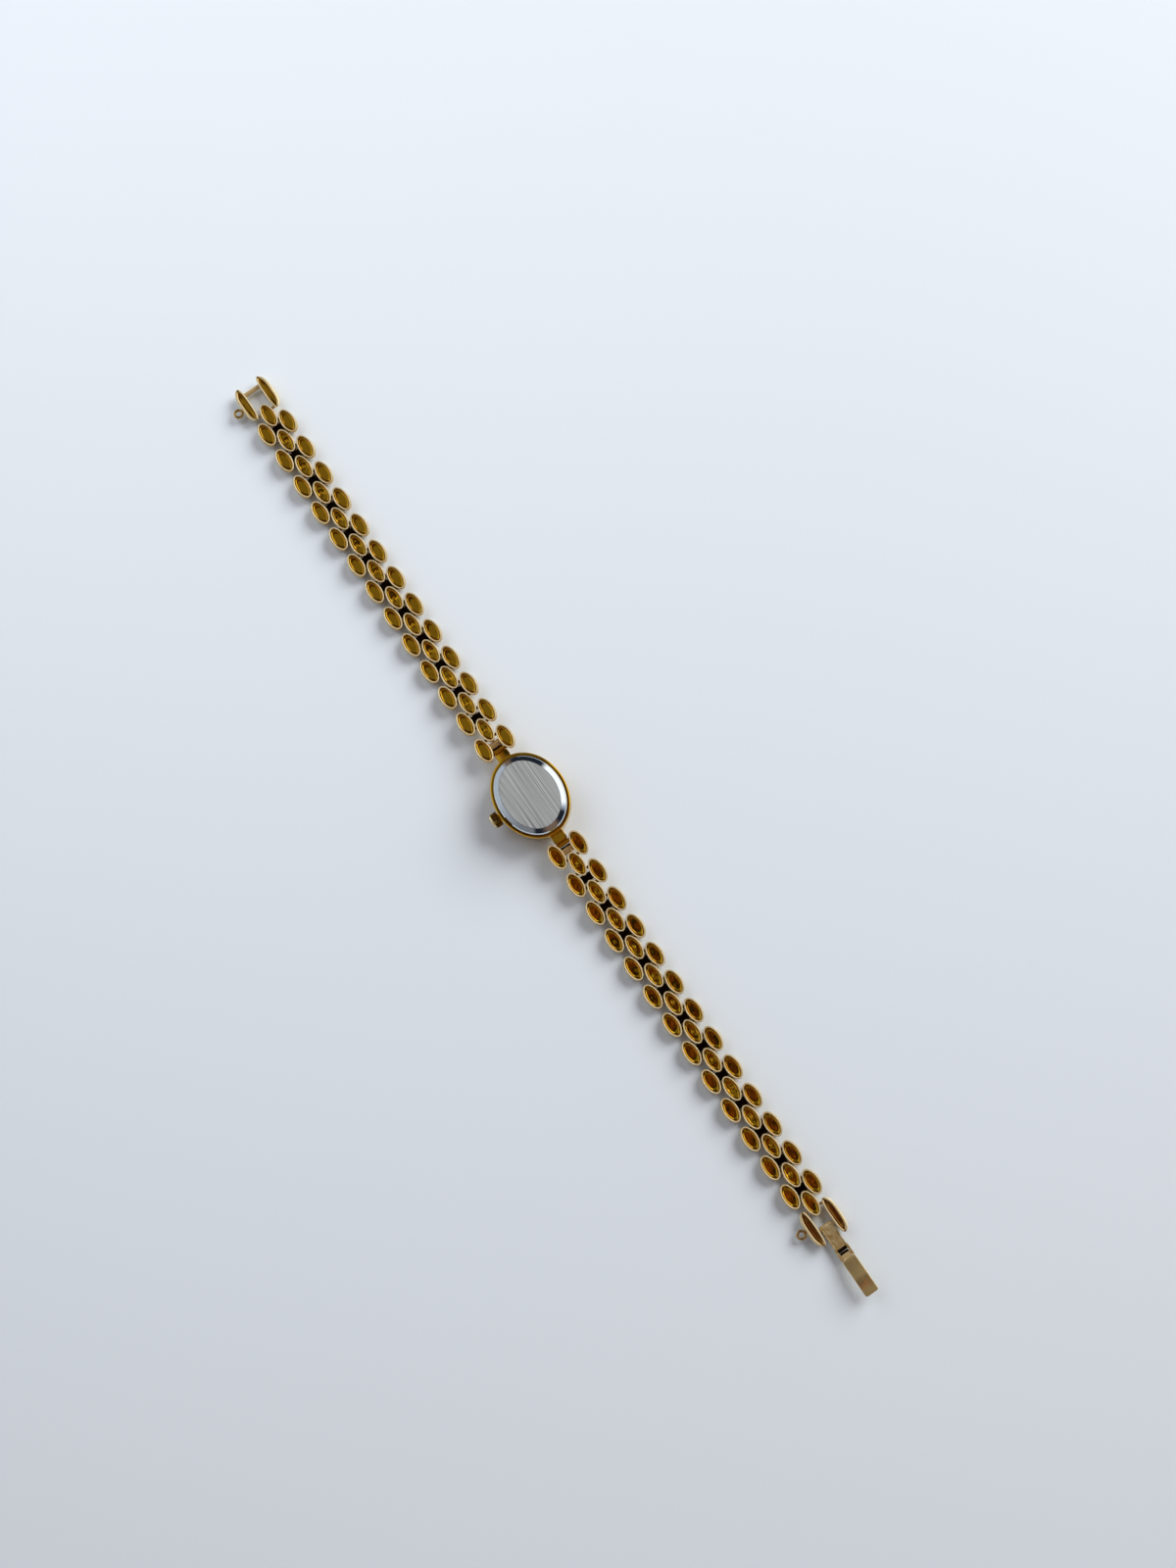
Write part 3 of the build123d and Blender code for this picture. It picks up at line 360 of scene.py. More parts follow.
class NodeTree:
    """A node tree under construction, with short calls for the nodes that a finish and the sky need."""

    def __init__(self, tree):
        self.nodes = tree.nodes
        self.links = tree.links

    def feed(self, value, socket):
        """Link a value to a socket, or set it there when it's a colour or a number."""
        if isinstance(value, tuple):
            socket.default_value = (*value, 1)
        elif isinstance(value, (int, float)):
            socket.default_value = value
        else:
            self.links.new(value, socket)

    def span(self, value, low, high, out_low=0.0, out_high=1.0, interpolation="LINEAR"):
        node = self.nodes.new("ShaderNodeMapRange")
        node.interpolation_type = interpolation
        limits = {"From Min": low, "From Max": high, "To Min": out_low, "To Max": out_high}
        for socket, number in limits.items():
            node.inputs[socket].default_value = number
        self.links.new(value, node.inputs["Value"])
        return node.outputs["Result"]

    def calculated(self, operation, a, b):
        node = self.nodes.new("ShaderNodeMath")
        node.operation = operation
        self.feed(a, node.inputs[0])
        self.feed(b, node.inputs[1])
        return node.outputs["Value"]

    def plus(self, a, b):
        return self.calculated("ADD", a, b)

    def times(self, a, b):
        return self.calculated("MULTIPLY", a, b)

    def blend(self, share, a, b, kind="MIX"):
        node = self.nodes.new("ShaderNodeMix")
        node.data_type = "RGBA"
        node.blend_type = kind
        self.feed(share, node.inputs["Factor"])
        for value, socket in zip((a, b), [socket for socket in node.inputs if socket.type == "RGBA"]):
            self.feed(value, socket)
        return [socket for socket in node.outputs if socket.type == "RGBA"][0]


class Finish(NodeTree):
    """A Principled material under construction."""

    def __init__(self, name, colour, metallic, roughness):
        self.material = bpy.data.materials.new(name)
        self.material.use_nodes = True
        self.material.diffuse_color = (*colour, 1)
        super().__init__(self.material.node_tree)
        self.shader = self.nodes["Principled BSDF"]
        self.shader.inputs["Base Color"].default_value = (*colour, 1)
        self.shader.inputs["Metallic"].default_value = metallic
        self.shader.inputs["Roughness"].default_value = roughness
        self.place = self.nodes.new("ShaderNodeTexCoord").outputs["Object"]

    def stretched(self, scale):
        mapping = self.nodes.new("ShaderNodeMapping")
        mapping.inputs["Scale"].default_value = scale
        self.links.new(self.place, mapping.inputs["Vector"])
        return mapping.outputs["Vector"]

    def noise(self, scale, detail=3, stretch=(1, 1, 1), distortion=0.0):
        node = self.nodes.new("ShaderNodeTexNoise")
        node.inputs["Scale"].default_value = scale
        node.inputs["Detail"].default_value = detail
        node.inputs["Distortion"].default_value = distortion
        self.links.new(self.stretched(stretch), node.inputs["Vector"])
        return node.outputs["Fac"]

    def cells(self, scale):
        node = self.nodes.new("ShaderNodeTexVoronoi")
        node.inputs["Scale"].default_value = scale
        self.links.new(self.place, node.inputs["Vector"])
        return node.outputs["Distance"]

    def bands(self, scale, direction):
        node = self.nodes.new("ShaderNodeTexWave")
        node.bands_direction = direction
        node.inputs["Scale"].default_value = scale
        self.links.new(self.place, node.inputs["Vector"])
        return node.outputs["Fac"]

    def tone(self):
        node = self.nodes.new("ShaderNodeAttribute")
        node.attribute_name = "tone"
        return node.outputs["Fac"]

    def colour(self, value):
        self.links.new(value, self.shader.inputs["Base Color"])

    def with_painted_shade(self, clean):
        """Let the colour turn to a dark brown painted shade where the tone passes 1."""
        self.colour(self.blend(self.span(self.tone(), 1.05, 1.8), clean, PAINTED_SHADE))

    def roughness(self, value):
        self.links.new(value, self.shader.inputs["Roughness"])

    def metallic(self, value):
        self.links.new(value, self.shader.inputs["Metallic"])

    def bump(self, height, depth, strength=1.0):
        node = self.nodes.new("ShaderNodeBump")
        node.inputs["Strength"].default_value = strength
        node.inputs["Distance"].default_value = depth
        self.links.new(height, node.inputs["Height"])
        self.links.new(node.outputs["Normal"], self.shader.inputs["Normal"])


def scaled(colour, share):
    """A colour with each channel multiplied by one share."""
    return tuple(min(channel * share, 1.0) for channel in colour)


def grain_gold(name, colours, deep, reflection_patches=False):
    """Pressed gold: pale, worn gold at tone 0 that is partly a painted highlight, deep at tone 1 that is
    partly a painted shade, and there cloudy, or with patches of a painted dark reflection.
    """
    finish = Finish(name, tuple(deep), 1.0, 0.16)
    if reflection_patches:
        # Patches of a painted dark reflection
        patches = finish.span(finish.noise(420, 2, (0.55, 1, 1), 1.6), 0.32, 0.54)
        inside = finish.blend(patches, tuple(colours.shade), tuple(deep))
    else:
        clouds = finish.span(finish.noise(300, 2), 0.3, 0.7, 0.75, 1.0)
        inside = finish.blend(clouds, scaled(deep, 0.75), tuple(deep))
    # Rim gold: worn, and partly a painted highlight
    rubs = finish.span(finish.noise(2600, 4), 0.35, 0.75)
    worn_and_highlit = finish.blend(rubs, scaled(colours.rim, 0.92), tuple(colours.rim))
    finish.with_painted_shade(finish.blend(finish.tone(), worn_and_highlit, inside))
    hairs = finish.span(finish.noise(1800, 5, (1, 0.35, 1)), 0.3, 0.75, 0.0, 0.05)
    finish.roughness(finish.plus(hairs, finish.span(finish.tone(), 0, 1, 0.2, 0.09)))
    finish.metallic(finish.span(finish.tone(), 0, 0.5, 0.5, 1.0))
    finish.bump(finish.times(finish.noise(3600, 3, (1, 0.3, 1)), finish.tone()), 1.5e-6, 0.5)
    return finish.material


def case_gold(name, colours):
    """Deep yellow plated case: small hairlines along the bracelet and slightly worn edges."""
    finish = Finish(name, tuple(colours.case), 1.0, 0.14)
    worn = finish.span(finish.noise(900, 4), 0.5, 0.8, 0, 0.1)
    finish.colour(finish.blend(worn, tuple(colours.case), tuple(colours.rim)))
    finish.roughness(finish.span(finish.noise(2400, 5, (0.15, 1, 1)), 0.3, 0.75, 0.08, 0.22))
    finish.bump(finish.noise(6000, 3, (0.08, 1, 1)), 2e-6, 0.4)
    return finish.material


def clasp_gold(name, colours, deep):
    """Gold of the clasp: deeper inside the ears, partly as a painted shade, with drawn lines along the
    plates.
    """
    finish = Finish(name, tuple(colours.rim), 1.0, 0.18)
    rubs = finish.span(finish.noise(700, 4), 0.3, 0.75)
    outside = finish.blend(rubs, scaled(colours.rim, 0.85), tuple(colours.rim))
    clouds = finish.span(finish.noise(500, 3, distortion=1.0), 0.3, 0.65)
    inside = finish.blend(clouds, scaled(deep, 0.7), tuple(deep))
    finish.with_painted_shade(finish.blend(finish.tone(), outside, inside))
    finish.roughness(finish.span(finish.noise(1500, 5, (0.3, 1, 1)), 0.3, 0.75, 0.12, 0.28))
    finish.metallic(finish.span(finish.tone(), 0, 0.5, 0.5, 1.0))
    finish.bump(finish.noise(4200, 4, (0.3, 1, 1)), 3e-6, 0.6)
    return finish.material


def tongue_gold(name, colours):
    """Matt stamped inner plate: fine pebbled texture, left bare of marks."""
    finish = Finish(name, tuple(colours.hollow), 0.6, 0.34)
    worn = finish.span(finish.noise(1300, 5), 0.35, 0.7)
    finish.with_painted_shade(finish.blend(worn, (0.52, 0.34, 0.11), scaled(colours.rim, 0.82)))
    finish.roughness(finish.span(finish.noise(2200, 4), 0.3, 0.7, 0.24, 0.44))
    finish.bump(finish.cells(2600), 2.5e-5, 0.5)
    return finish.material


def back_steel(name, colours):
    """Case back: straight brushed lines on the flat middle, and a polished bevel where the tone is 0."""
    finish = Finish(name, tuple(colours.steel), 1.0, 0.3)
    lines = finish.span(finish.noise(1500, 7, (0.02, 4.5, 1)), 0.36, 0.64)
    brushed = finish.blend(lines, scaled(colours.steel, 0.5), scaled(colours.steel, 1.6))
    finish.colour(finish.blend(finish.tone(), scaled(colours.steel, 1.15), brushed))
    finish.metallic(finish.span(finish.tone(), 0, 1, 1.0, 0.5))
    finish.roughness(finish.span(finish.tone(), 0, 1, 0.05, 0.36))
    finish.bump(finish.times(finish.noise(900, 6, (0.02, 3.5, 1)), finish.tone()), 1.6e-5, 0.5)
    return finish.material


def clear_glass(name):
    """Mineral glass with a slight grey tint and faint hairlines."""
    finish = Finish(name, (0.93, 0.96, 0.97), 0.0, 0.03)
    finish.shader.inputs["Transmission Weight"].default_value = 1.0
    finish.shader.inputs["IOR"].default_value = 1.52
    finish.roughness(finish.span(finish.noise(3000, 4, (1, 0.2, 1)), 0.4, 0.8, 0.02, 0.09))
    return finish.material


def dial_enamel(name):
    """Warm white dial with a fine satin grain."""
    finish = Finish(name, (0.92, 0.90, 0.84), 0.0, 0.35)
    grain = finish.noise(2500, 5, (1, 0.05, 1))
    finish.colour(finish.blend(grain, (0.88, 0.86, 0.79), (0.95, 0.93, 0.88)))
    finish.roughness(finish.span(finish.noise(4000, 3), 0.3, 0.7, 0.28, 0.45))
    return finish.material


def turned_steel(name):
    """Small steel parts: bright, with fine turning marks."""
    finish = Finish(name, (0.68, 0.69, 0.71), 1.0, 0.22)
    finish.colour(finish.blend(finish.noise(1500, 5), (0.58, 0.59, 0.62), (0.76, 0.77, 0.78)))
    finish.roughness(finish.span(finish.noise(2600, 5, (1, 0.2, 1)), 0.3, 0.7, 0.14, 0.34))
    finish.bump(finish.noise(5000, 3, (1, 0.1, 1)), 3e-6, 0.5)
    return finish.material


def wound_copper(name):
    """Coil of enamelled copper wire, one turn beside the other."""
    finish = Finish(name, (0.72, 0.36, 0.18), 1.0, 0.28)
    turns = finish.bands(2600, "Y")
    finish.colour(finish.blend(turns, (0.40, 0.16, 0.07), (0.82, 0.44, 0.22)))
    finish.bump(turns, 1.5e-5, 0.8)
    return finish.material


def moulded(name, colour):
    """Moulded plastic or rubber with a fine skin and slightly uneven colour."""
    finish = Finish(name, colour, 0.0, 0.45)
    finish.colour(finish.blend(finish.noise(1200, 4), scaled(colour, 0.88), scaled(colour, 1.05)))
    finish.roughness(finish.span(finish.noise(2500, 4), 0.3, 0.7, 0.35, 0.55))
    finish.bump(finish.noise(5200, 4), 4e-6, 0.5)
    return finish.material


def table_white(name, colours):
    """Smooth pale table top, a little uneven in colour."""
    finish = Finish(name, tuple(colours.floor), 0.0, 0.55)
    clouds = finish.noise(3, 2)
    finish.colour(finish.blend(clouds, scaled(colours.floor, 0.97), scaled(colours.floor, 1.03)))
    finish.roughness(finish.span(finish.noise(60, 3), 0.3, 0.7, 0.5, 0.6))
    finish.shader.inputs["Specular IOR Level"].default_value = 0.2
    return finish.material


def finish_named(name, make, *values):
    """The material of that name, made on first use."""
    return bpy.data.materials.get(name) or make(name, *values)


# Bracelet


def hinge_point(body):
    """Where a body's hinge is at rest, in millimetres."""
    return Vector(joints[f"{body}_hinge"]["pos_m"]) / MM


def from_frame(body):
    """Distance along the bracelet from the 6 o'clock clasp frame's hinge to that of another body."""
    hinge, start = joints[f"{body}_hinge"], joints["clasp_frame_6h_hinge"]
    return (hinge["pos_m"][0] - start["pos_m"][0]) / MM


def half_place(half, spot):
    """Place at a spot of one half, with X away from the case: the 12 o'clock half is turned round."""
    turn = Matrix.Rotation(math.pi if half == "12h" else 0, 4, "Z")
    return turn @ Matrix.Translation((abs(spot.x), 0, spot.z))


def link_count():
    """Number of links in one half of the bracelet."""
    return sum(name.startswith("link_6h") for name in joints)


def link_place(half, number):
    """Place of a link: its hinge, with a lean along the line to the next hinge."""
    own = hinge_point(f"link_{half}_{number:02d}")
    last = number == link_count()
    after = hinge_point(f"clasp_frame_{half}" if last else f"link_{half}_{number + 1:02d}")
    lean = math.atan2(own.z - after.z, abs(after.x - own.x))
    return half_place(half, own) @ Matrix.Rotation(lean, 4, "Y")


def frame_place(half):
    """Place of a clasp frame: its hinge."""
    return half_place(half, hinge_point(f"clasp_frame_{half}"))


def press_grain(skin, sizes, width, place, dice, swirl, nub):
    """One pressed grain as a stack of superellipses.

    The belly is a quarter ellipse from the lowest point out to the full outline. Then come a short wall and
    a rolled rim, a half circle in section. The floor inside lies at the depth times one less the share of
    the way out to the power 8, plus two crossed sine ripples. A nub adds a Gaussian hill inside a Gaussian
    groove. A painted shade darkens the foot of the rim on both sides.
    """
    a = millimetres(sizes, "grain_length") / 2
    b = width / 2
    rim = millimetres(sizes, "rim_width")
    top = millimetres(sizes, "grain_height") - b
    depth = millimetres(sizes, "hollow_depth")
    power = sizes.point
    belly = np.radians([84, 70, 56, 42, 28, 14, 4])
    roll = np.radians([0, 30, 60, 90, 120, 150, 180])
    r = rim / 2
    step_down = 0.05
    out = r * (1 - np.cos(roll))
    roll_height = top - r + r * np.sin(roll)
    share = np.array([1.0, 0.96, 0.91, 0.85, 0.77, 0.67, 0.55, 0.42, 0.29, 0.17, 0.07])
    lengths = np.concatenate([a * np.cos(belly), a - out, (a - rim) * share])
    widths = np.concatenate([b * np.cos(belly), b - out, (b - rim) * share])
    floor = top - r - step_down - depth * (1 - share**8)
    heights = np.concatenate([-b * np.sin(belly), roll_height, floor])
    rings = oval_rings(lengths, widths, heights, power, 60)
    # Tone over the rim: a painted shade at both feet, and on top pale gold that is partly a painted
    # highlight
    rim_tone = [1.3, 0.4, 0, 0, 0, 0, 0.35, 1.45]
    tone = np.concatenate([np.full(len(belly), SIDE_TONE), rim_tone, np.ones(len(share) - 1)])
    inner = rings[-len(share) :]
    ripple = millimetres(sizes, "ripple") * swirl
    turn = dice.uniform(0, 2 * np.pi, 3)
    waves = np.sin(2.1 * inner[..., 0] + turn[0]) * np.cos(2.6 * inner[..., 1] + turn[1])
    inner[..., 2] += ripple * waves * (1 - share[:, None] ** 4)
    if nub:
        hill, hill_radius, groove, groove_radius, groove_width = 0.17, 0.2, 0.07, 0.42, 0.13
        away = np.hypot(inner[..., 0] - 0.12 * np.cos(turn[2]), inner[..., 1] - 0.08 * np.sin(turn[2]))
        inner[..., 2] += hill * np.exp(-((away / hill_radius) ** 2))
        inner[..., 2] -= groove * np.exp(-(((away - groove_radius) / groove_width) ** 2))
    skin.wrap(rings, tone, place)


def build_link(sizes, half, number, dice):
    """Two leaning outer grains on a cross bar, the centre grain behind them, and the two pins."""
    place = link_place(half, number)
    pitch = millimetres(sizes, "pitch")
    pin = millimetres(sizes, "pin_height")
    skin = Skin()
    outer = millimetres(sizes, "outer_width")
    centre = millimetres(sizes, "centre_width")
    swirl = 0.4 if half == "12h" else 1.4
    centre_share = 1.6
    for side in (1, -1):
        spot = Matrix.Translation((pitch / 4, side * millimetres(sizes, "row_offset"), outer / 2 - pin))
        tilted = place @ spot @ Matrix.Rotation(side * sizes.tilt, 4, "X")
        press_grain(skin, sizes, outer, tilted, dice, swirl, False)
    last = number == link_count()
    shift = 0.12 if last else 0
    reach = 0.75 * pitch - shift
    spot = Matrix.Translation((reach, 0, centre / 2 - pin))
    press_grain(skin, sizes, centre, place @ spot, dice, centre_share * swirl, not last)
    # Pins and the cross bars between grains are darkened by a painted shade, and the thin dark sheet under
    # the first link is a painted shade in its recess
    bar_reach, pin_tone = 1.3, 1.6
    if number == 1:
        skin.rod(pitch / 4, z=0.05, radius=0.36, reach=bar_reach, tone=0.35, place=place, broad=1.5)
        skin.slab(
            start=0.58, end=1.3, z=-0.42, half_y=0.95, half_z=0.07, radius=0.05, tone=PAINTED_SHADE_TONE, place=place
        )
    else:
        skin.rod(pitch / 4, z=-0.1, radius=0.3, reach=bar_reach, tone=PAINTED_SHADE_TONE, place=place, broad=2.3)
    for x in (0, pitch / 2):
        skin.rod(x, 0, PIN_RADIUS, PIN_REACH, pin_tone, place)
    return skin


class WATCH_OT_bracelet(bpy.types.Operator):
    """Build the 26 links of the bracelet"""

    bl_idname = "watch.bracelet"
    bl_label = "Bracelet links"

    def execute(self, context):
        sizes, colours = context.scene.watch_bracelet, context.scene.watch_colours
        dice = np.random.default_rng(sizes.seed)
        finish = finish_named("grain_gold", grain_gold, colours, colours.hollow)
        for half in ("12h", "6h"):
            for number in range(1, link_count() + 1):
                node = f"link_{half}_{number:02d}"
                skin = build_link(sizes, half, number, dice)
                dress(f"grains_{half}_{number:02d}", skin, finish, node, [node])
        return {"FINISHED"}


# Case


def turned(along, radii):
    """Circles round the crown's axis, one at each place along Y, with a radius for each of their points."""
    t = np.linspace(0, 2 * np.pi, radii.shape[1], endpoint=False)
    height = joints["crown_turn"]["pos_m"][2] / MM
    return np.stack(
        [radii * np.cos(t), np.broadcast_to(along[:, None], radii.shape), height + radii * np.sin(t)],
        axis=-1,
    )


class WATCH_OT_case(bpy.types.Operator):
    """Build the oval case with its two lug tongues"""

    bl_idname = "watch.case"
    bl_label = "Case"

    def execute(self, context):
        sizes, colours = context.scene.watch_case, context.scene.watch_colours
        finish = finish_named("case_gold", case_gold, colours)
        a, b = millimetres(sizes, "length") / 2, millimetres(sizes, "width") / 2
        edge = millimetres(sizes, "back_edge")
        quarter = np.linspace(0, np.pi / 2, 9)
        front_round, rear_round, front, ledge, seat = 1.2, 0.3, 0.15, 1.9, 0.9
        # Distance inward and height, from the rear edge down the inside and over the ledge to the front
        inside = np.array(
            [
                (0.5, edge), (1.0, edge - 0.02), (1.0, ledge), (2.0, ledge), (2.0, seat), (1.6, seat),
                (1.6, 0.24), (1.45, front),
            ]
        )
        inward = np.concatenate(
            [
                front_round * (1 - np.sin(quarter)),
                [0.0],
                rear_round * (1 - np.cos(quarter[::2])),
                inside[:, 0],
            ]
        )
        heights = np.concatenate(
            [
                front + front_round * (1 - np.cos(quarter)),
                [edge - 1.2],
                edge - rear_round + rear_round * np.sin(quarter[::2]),
                inside[:, 1],
            ]
        )
        skin = Skin()
        skin.wrap(oval_rings(a - inward, b - inward, heights, 2.0, 144), 0.0, loop=True)
        root, height, pin_height, slope, knuckle_reach = 7.9, 2.42, 2.5, 0.27, 1.05
        for turn in (0, math.pi):
            place = Matrix.Rotation(turn, 4, "Z")
            lean = Matrix.Translation((root, 0, pin_height)) @ Matrix.Rotation(slope, 4, "Y")
            lean = lean @ Matrix.Translation((-root, 0, -height))
            skin.slab(6.75, 8.97, z=height, half_y=1.2, half_z=0.6, radius=0.14, place=place @ lean)
            skin.slab(8.7, 9.42, z=2.3, half_y=knuckle_reach, half_z=0.3, radius=0.08, place=place)
            skin.rod(9.5, z=pin_height, radius=0.42, reach=knuckle_reach, place=place)
        bore, wall, inner_end, outer_end = 0.33, 0.75, -5.35, -7.1
        along = np.array([inner_end, outer_end + 0.02, outer_end, outer_end, inner_end])
        radii = np.array([wall, wall, wall - 0.03, bore, bore])
        skin.wrap(turned(along, np.repeat(radii[:, None], 40, axis=1)), 0.0, loop=True)
        dress("case", skin, finish, "case", ["case_body"], 30)
        return {"FINISHED"}


class WATCH_OT_back(bpy.types.Operator):
    """Build the steel case back with its brushed middle, bevel and opening notch"""

    bl_idname = "watch.back"
    bl_label = "Case back"

    def execute(self, context):
        sizes, colours = context.scene.watch_case, context.scene.watch_colours
        finish = finish_named("back_steel", back_steel, colours)
        inset = 0.55
        a, b = millimetres(sizes, "length") / 2 - inset, millimetres(sizes, "width") / 2 - inset
        fa, fb = millimetres(sizes, "flat_length") / 2, millimetres(sizes, "flat_width") / 2
        edge, top = millimetres(sizes, "back_edge"), millimetres(sizes, "back_top")
        share = np.array([0.04, 0.2, 0.4, 0.6, 0.8, 0.93, 0.985, 1.0])

        def half_axes(full, flat):
            """Half axis of each ring: the seat below, the edge, the bevel, and the flat middle."""
            seat = [0.5, full - 1.2, full - 1.2, full - 0.7, full - 0.7, full - 0.03]
            bevel = flat + (full - flat) * np.array([0.8, 0.4, 0.04])
            return np.concatenate([seat, [full, full - 0.04], bevel, flat * share[::-1]])

        rise = top - edge
        heights = np.concatenate(
            [
                [edge - 0.15, edge - 0.15, edge - 0.5, edge - 0.5, edge, edge],
                [edge + 0.04, edge + 0.1],
                edge + rise * np.array([0.34, 0.68, 0.965]),
                np.full(len(share), top),
            ]
        )
        rings = oval_rings(half_axes(a, fa), half_axes(b, fb), heights, 2.0, 176)
        notch_x, notch_length, notch_width, notch_depth = 1.7, 0.8, 0.6, 0.3
        near = np.hypot((rings[..., 0] - notch_x) / notch_length, (rings[..., 1] + b) / notch_width) < 1
        notch = near & (rings[..., 2] < edge + notch_depth) & (rings[..., 2] > edge - 0.01)
        rings[..., 1] += np.where(notch, notch_depth, 0.0)
        polished = len(heights) - len(share) + 1
        tone = np.concatenate([np.zeros(polished), [0.9], np.ones(len(share) - 2)])
        skin = Skin()
        skin.wrap(rings, tone)
        dress("steel_back", skin, finish, "case", ["case_back"], 14)
        return {"FINISHED"}


class WATCH_OT_crystal(bpy.types.Operator):
    """Build the flat oval glass on which the watch lies"""

    bl_idname = "watch.crystal"
    bl_label = "Crystal"

    def execute(self, context):
        finish = finish_named("clear_glass", clear_glass)
        share = np.array([0.05, 0.4, 0.8, 1.0])

        def half_axes(face, bevel, full):
            """Half axis of each ring: the face on the table, the bevel, the wall, and the inner face."""
            return np.concatenate([face * share, [bevel, full, full], full * share[::-1][1:]])

        lengths, widths = half_axes(5.83, 5.93, 5.98), half_axes(4.43, 4.53, 4.58)
        heights = [0.0, 0.0, 0.0, 0.0, 0.05, 0.15, 0.9, 0.9, 0.9, 0.9]
        skin = Skin()
        skin.wrap(oval_rings(lengths, widths, heights, 2.0, 120))
        dress("glass", skin, finish, "case", ["crystal"], 25)
        return {"FINISHED"}


class WATCH_OT_crown(bpy.types.Operator):
    """Build the fluted crown with its domed end"""

    bl_idname = "watch.crown"
    bl_label = "Crown"

    def execute(self, context):
        sizes, colours = context.scene.watch_case, context.scene.watch_colours
        # The crown's darker gold and its dark patches are a painted reflection
        deep = scaled(colours.hollow, 0.55)
        finish = finish_named("crown_gold", grain_gold, colours, deep, True)
        radius = millimetres(sizes, "crown_radius")
        t = np.linspace(0, 2 * np.pi, sizes.flutes * 8, endpoint=False)
        groove = 0.5 - 0.5 * np.cos(sizes.flutes * t)
        start = 6.32
        # Place along the axis, radius, depth of the flutes and tone of each ring, from inside the skirt
        skirt = [
            (0.81, 0.93, 0, 1), (0, 0.93, 0, 1), (0, 1.18, 0.05, 1), (0.06, 1.26, 0.1, 1),
            (0.14, radius, 0.12, 1), (1.08, radius, 0.12, 1),
            (1.16, 1.25, 0.09, 0.7), (1.22, 1.18, 0.03, 0.3),
        ]
        angle = np.radians([0, 18, 36, 54, 72, 86])
        dome_tone = [0.1, 0, 0, 0, 0.1, 0.2]
        dome = [1.24 + 0.4 * np.sin(angle), 1.16 * np.cos(angle) ** 0.6, np.zeros(6), dome_tone]
        along, radii, depth, tone = np.concatenate([skirt, np.transpose(dome)]).T
        fluted = radii[:, None] - depth[:, None] * groove[None] ** 0.7
        skin = Skin()
        # Tone grows in the grooves of the flutes as a painted shade, and the pale dome is partly a painted
        # highlight
        skin.wrap(turned(-(start + along), fluted), tone[:, None] * (0.8 + 0.9 * groove[None]))
        dress("crown_button", skin, finish, "crown", ["crown"], 40)
        return {"FINISHED"}


# Clasp


def hollow_ear(skin, sizes, side, place):
    """Ear of a clasp frame: the same cross-section carried along X and scaled at each station.

    Its width falls as (1 - u^3.4)^0.5 and its depth as (1 - u^3.4)^0.55, u from -1 to 1 along the ear. The
    section is drawn outward towards both ends by 0.32 of the width lost. It's round outside and below, and
    hollow above between a narrow inner and a broad outer rim.
    """
    u = np.linspace(-0.995, 0.995, 45)
    length, wide = millimetres(sizes, "ear_length"), millimetres(sizes, "ear_width")
    w = wide * (1 - np.abs(u) ** 3.4) ** 0.5
    h = wide * (1 - np.abs(u) ** 3.4) ** 0.55
    rim = np.minimum(0.3, 0.26 * w)
    brim = 1.6 * rim
    depth = 0.6 * np.clip(1 - (np.abs(u) / 0.94) ** 4, 0, 1)
    depth = np.minimum(depth, 0.55 * h)
    zero = np.zeros_like(u)
    # Place across, height and tone of each point of the section, from below up the inner side and round.
    # Tone 1.3 at the feet of the rims is a painted shade, and so is the tone that grows towards the bottom
    # of the outside
    section = (
        (0.04 * w, -h, 0.6),
        (zero, -0.7 * h, 0.3),
        (zero, -0.12 * h, 0),
        (0.3 * rim, zero, 0),
        (rim, zero - 0.02, 0.1),
        (1.5 * rim, -0.8 * depth, 1.3),
        (0.5 * w, -depth, 1),
        (w - 1.5 * brim, -0.75 * depth, 1.3),
        (w - brim, zero - 0.02, 0.1),
        (w - 0.4 * brim, zero - 0.03, 0),
        (w, -0.2 * h, 0),
        (0.93 * w, -0.45 * h, 0.2),
        (0.72 * w, -0.78 * h, 0.5),
        (0.38 * w, -0.97 * h, 0.6),
    )
    y = np.stack([point[0] for point in section], axis=1)
    z = np.stack([point[1] for point in section], axis=1)
    x = np.broadcast_to((-0.65 + length / 2 + u * length / 2)[:, None], y.shape)
    inner = millimetres(sizes, "ear_gap") / 2 + 0.32 * (wide - w)[:, None]
    points = np.stack([x, side * (inner + y), 1.0 + z], axis=-1)
    inside = np.array([point[2] for point in section], dtype=float)
    tones = np.broadcast_to(inside[None, :, None], y.shape + (1,))
    both = soften(np.concatenate([points, tones], axis=-1))
    skin.wrap(both[..., :3], both[..., 3], place)


def chain_eye(skin, side, place):
    """Flat ring: an ellipse in section carried round a circle, on a short neck from the ear."""
    turn = np.linspace(0, 2 * np.pi, 40, endpoint=False)
    part = np.linspace(0, 2 * np.pi, 16, endpoint=False)
    middle_x, middle_y, height, neck_y, tone = 2.35, 4.15, 0.25, 3.3, 0.5
    ring_radius, half_width, half_height = 0.65, 0.25, 0.28
    radius = ring_radius + half_width * np.cos(part)[None]
    x = middle_x + radius * np.cos(turn)[:, None]
    y = side * middle_y + radius * np.sin(turn)[:, None]
    z = np.broadcast_to(height + half_height * np.sin(part)[None], x.shape)
    skin.wrap(np.stack([x, y, z], axis=-1), tone, place, loop=True)
    neck = place @ Matrix.Translation((middle_x, side * neck_y, height))
    neck = neck @ Matrix.Rotation(math.pi / 2, 4, "Z")
    skin.slab(-0.32, 0.32, z=0, half_y=0.36, half_z=0.2, radius=0.1, tone=tone, place=neck)


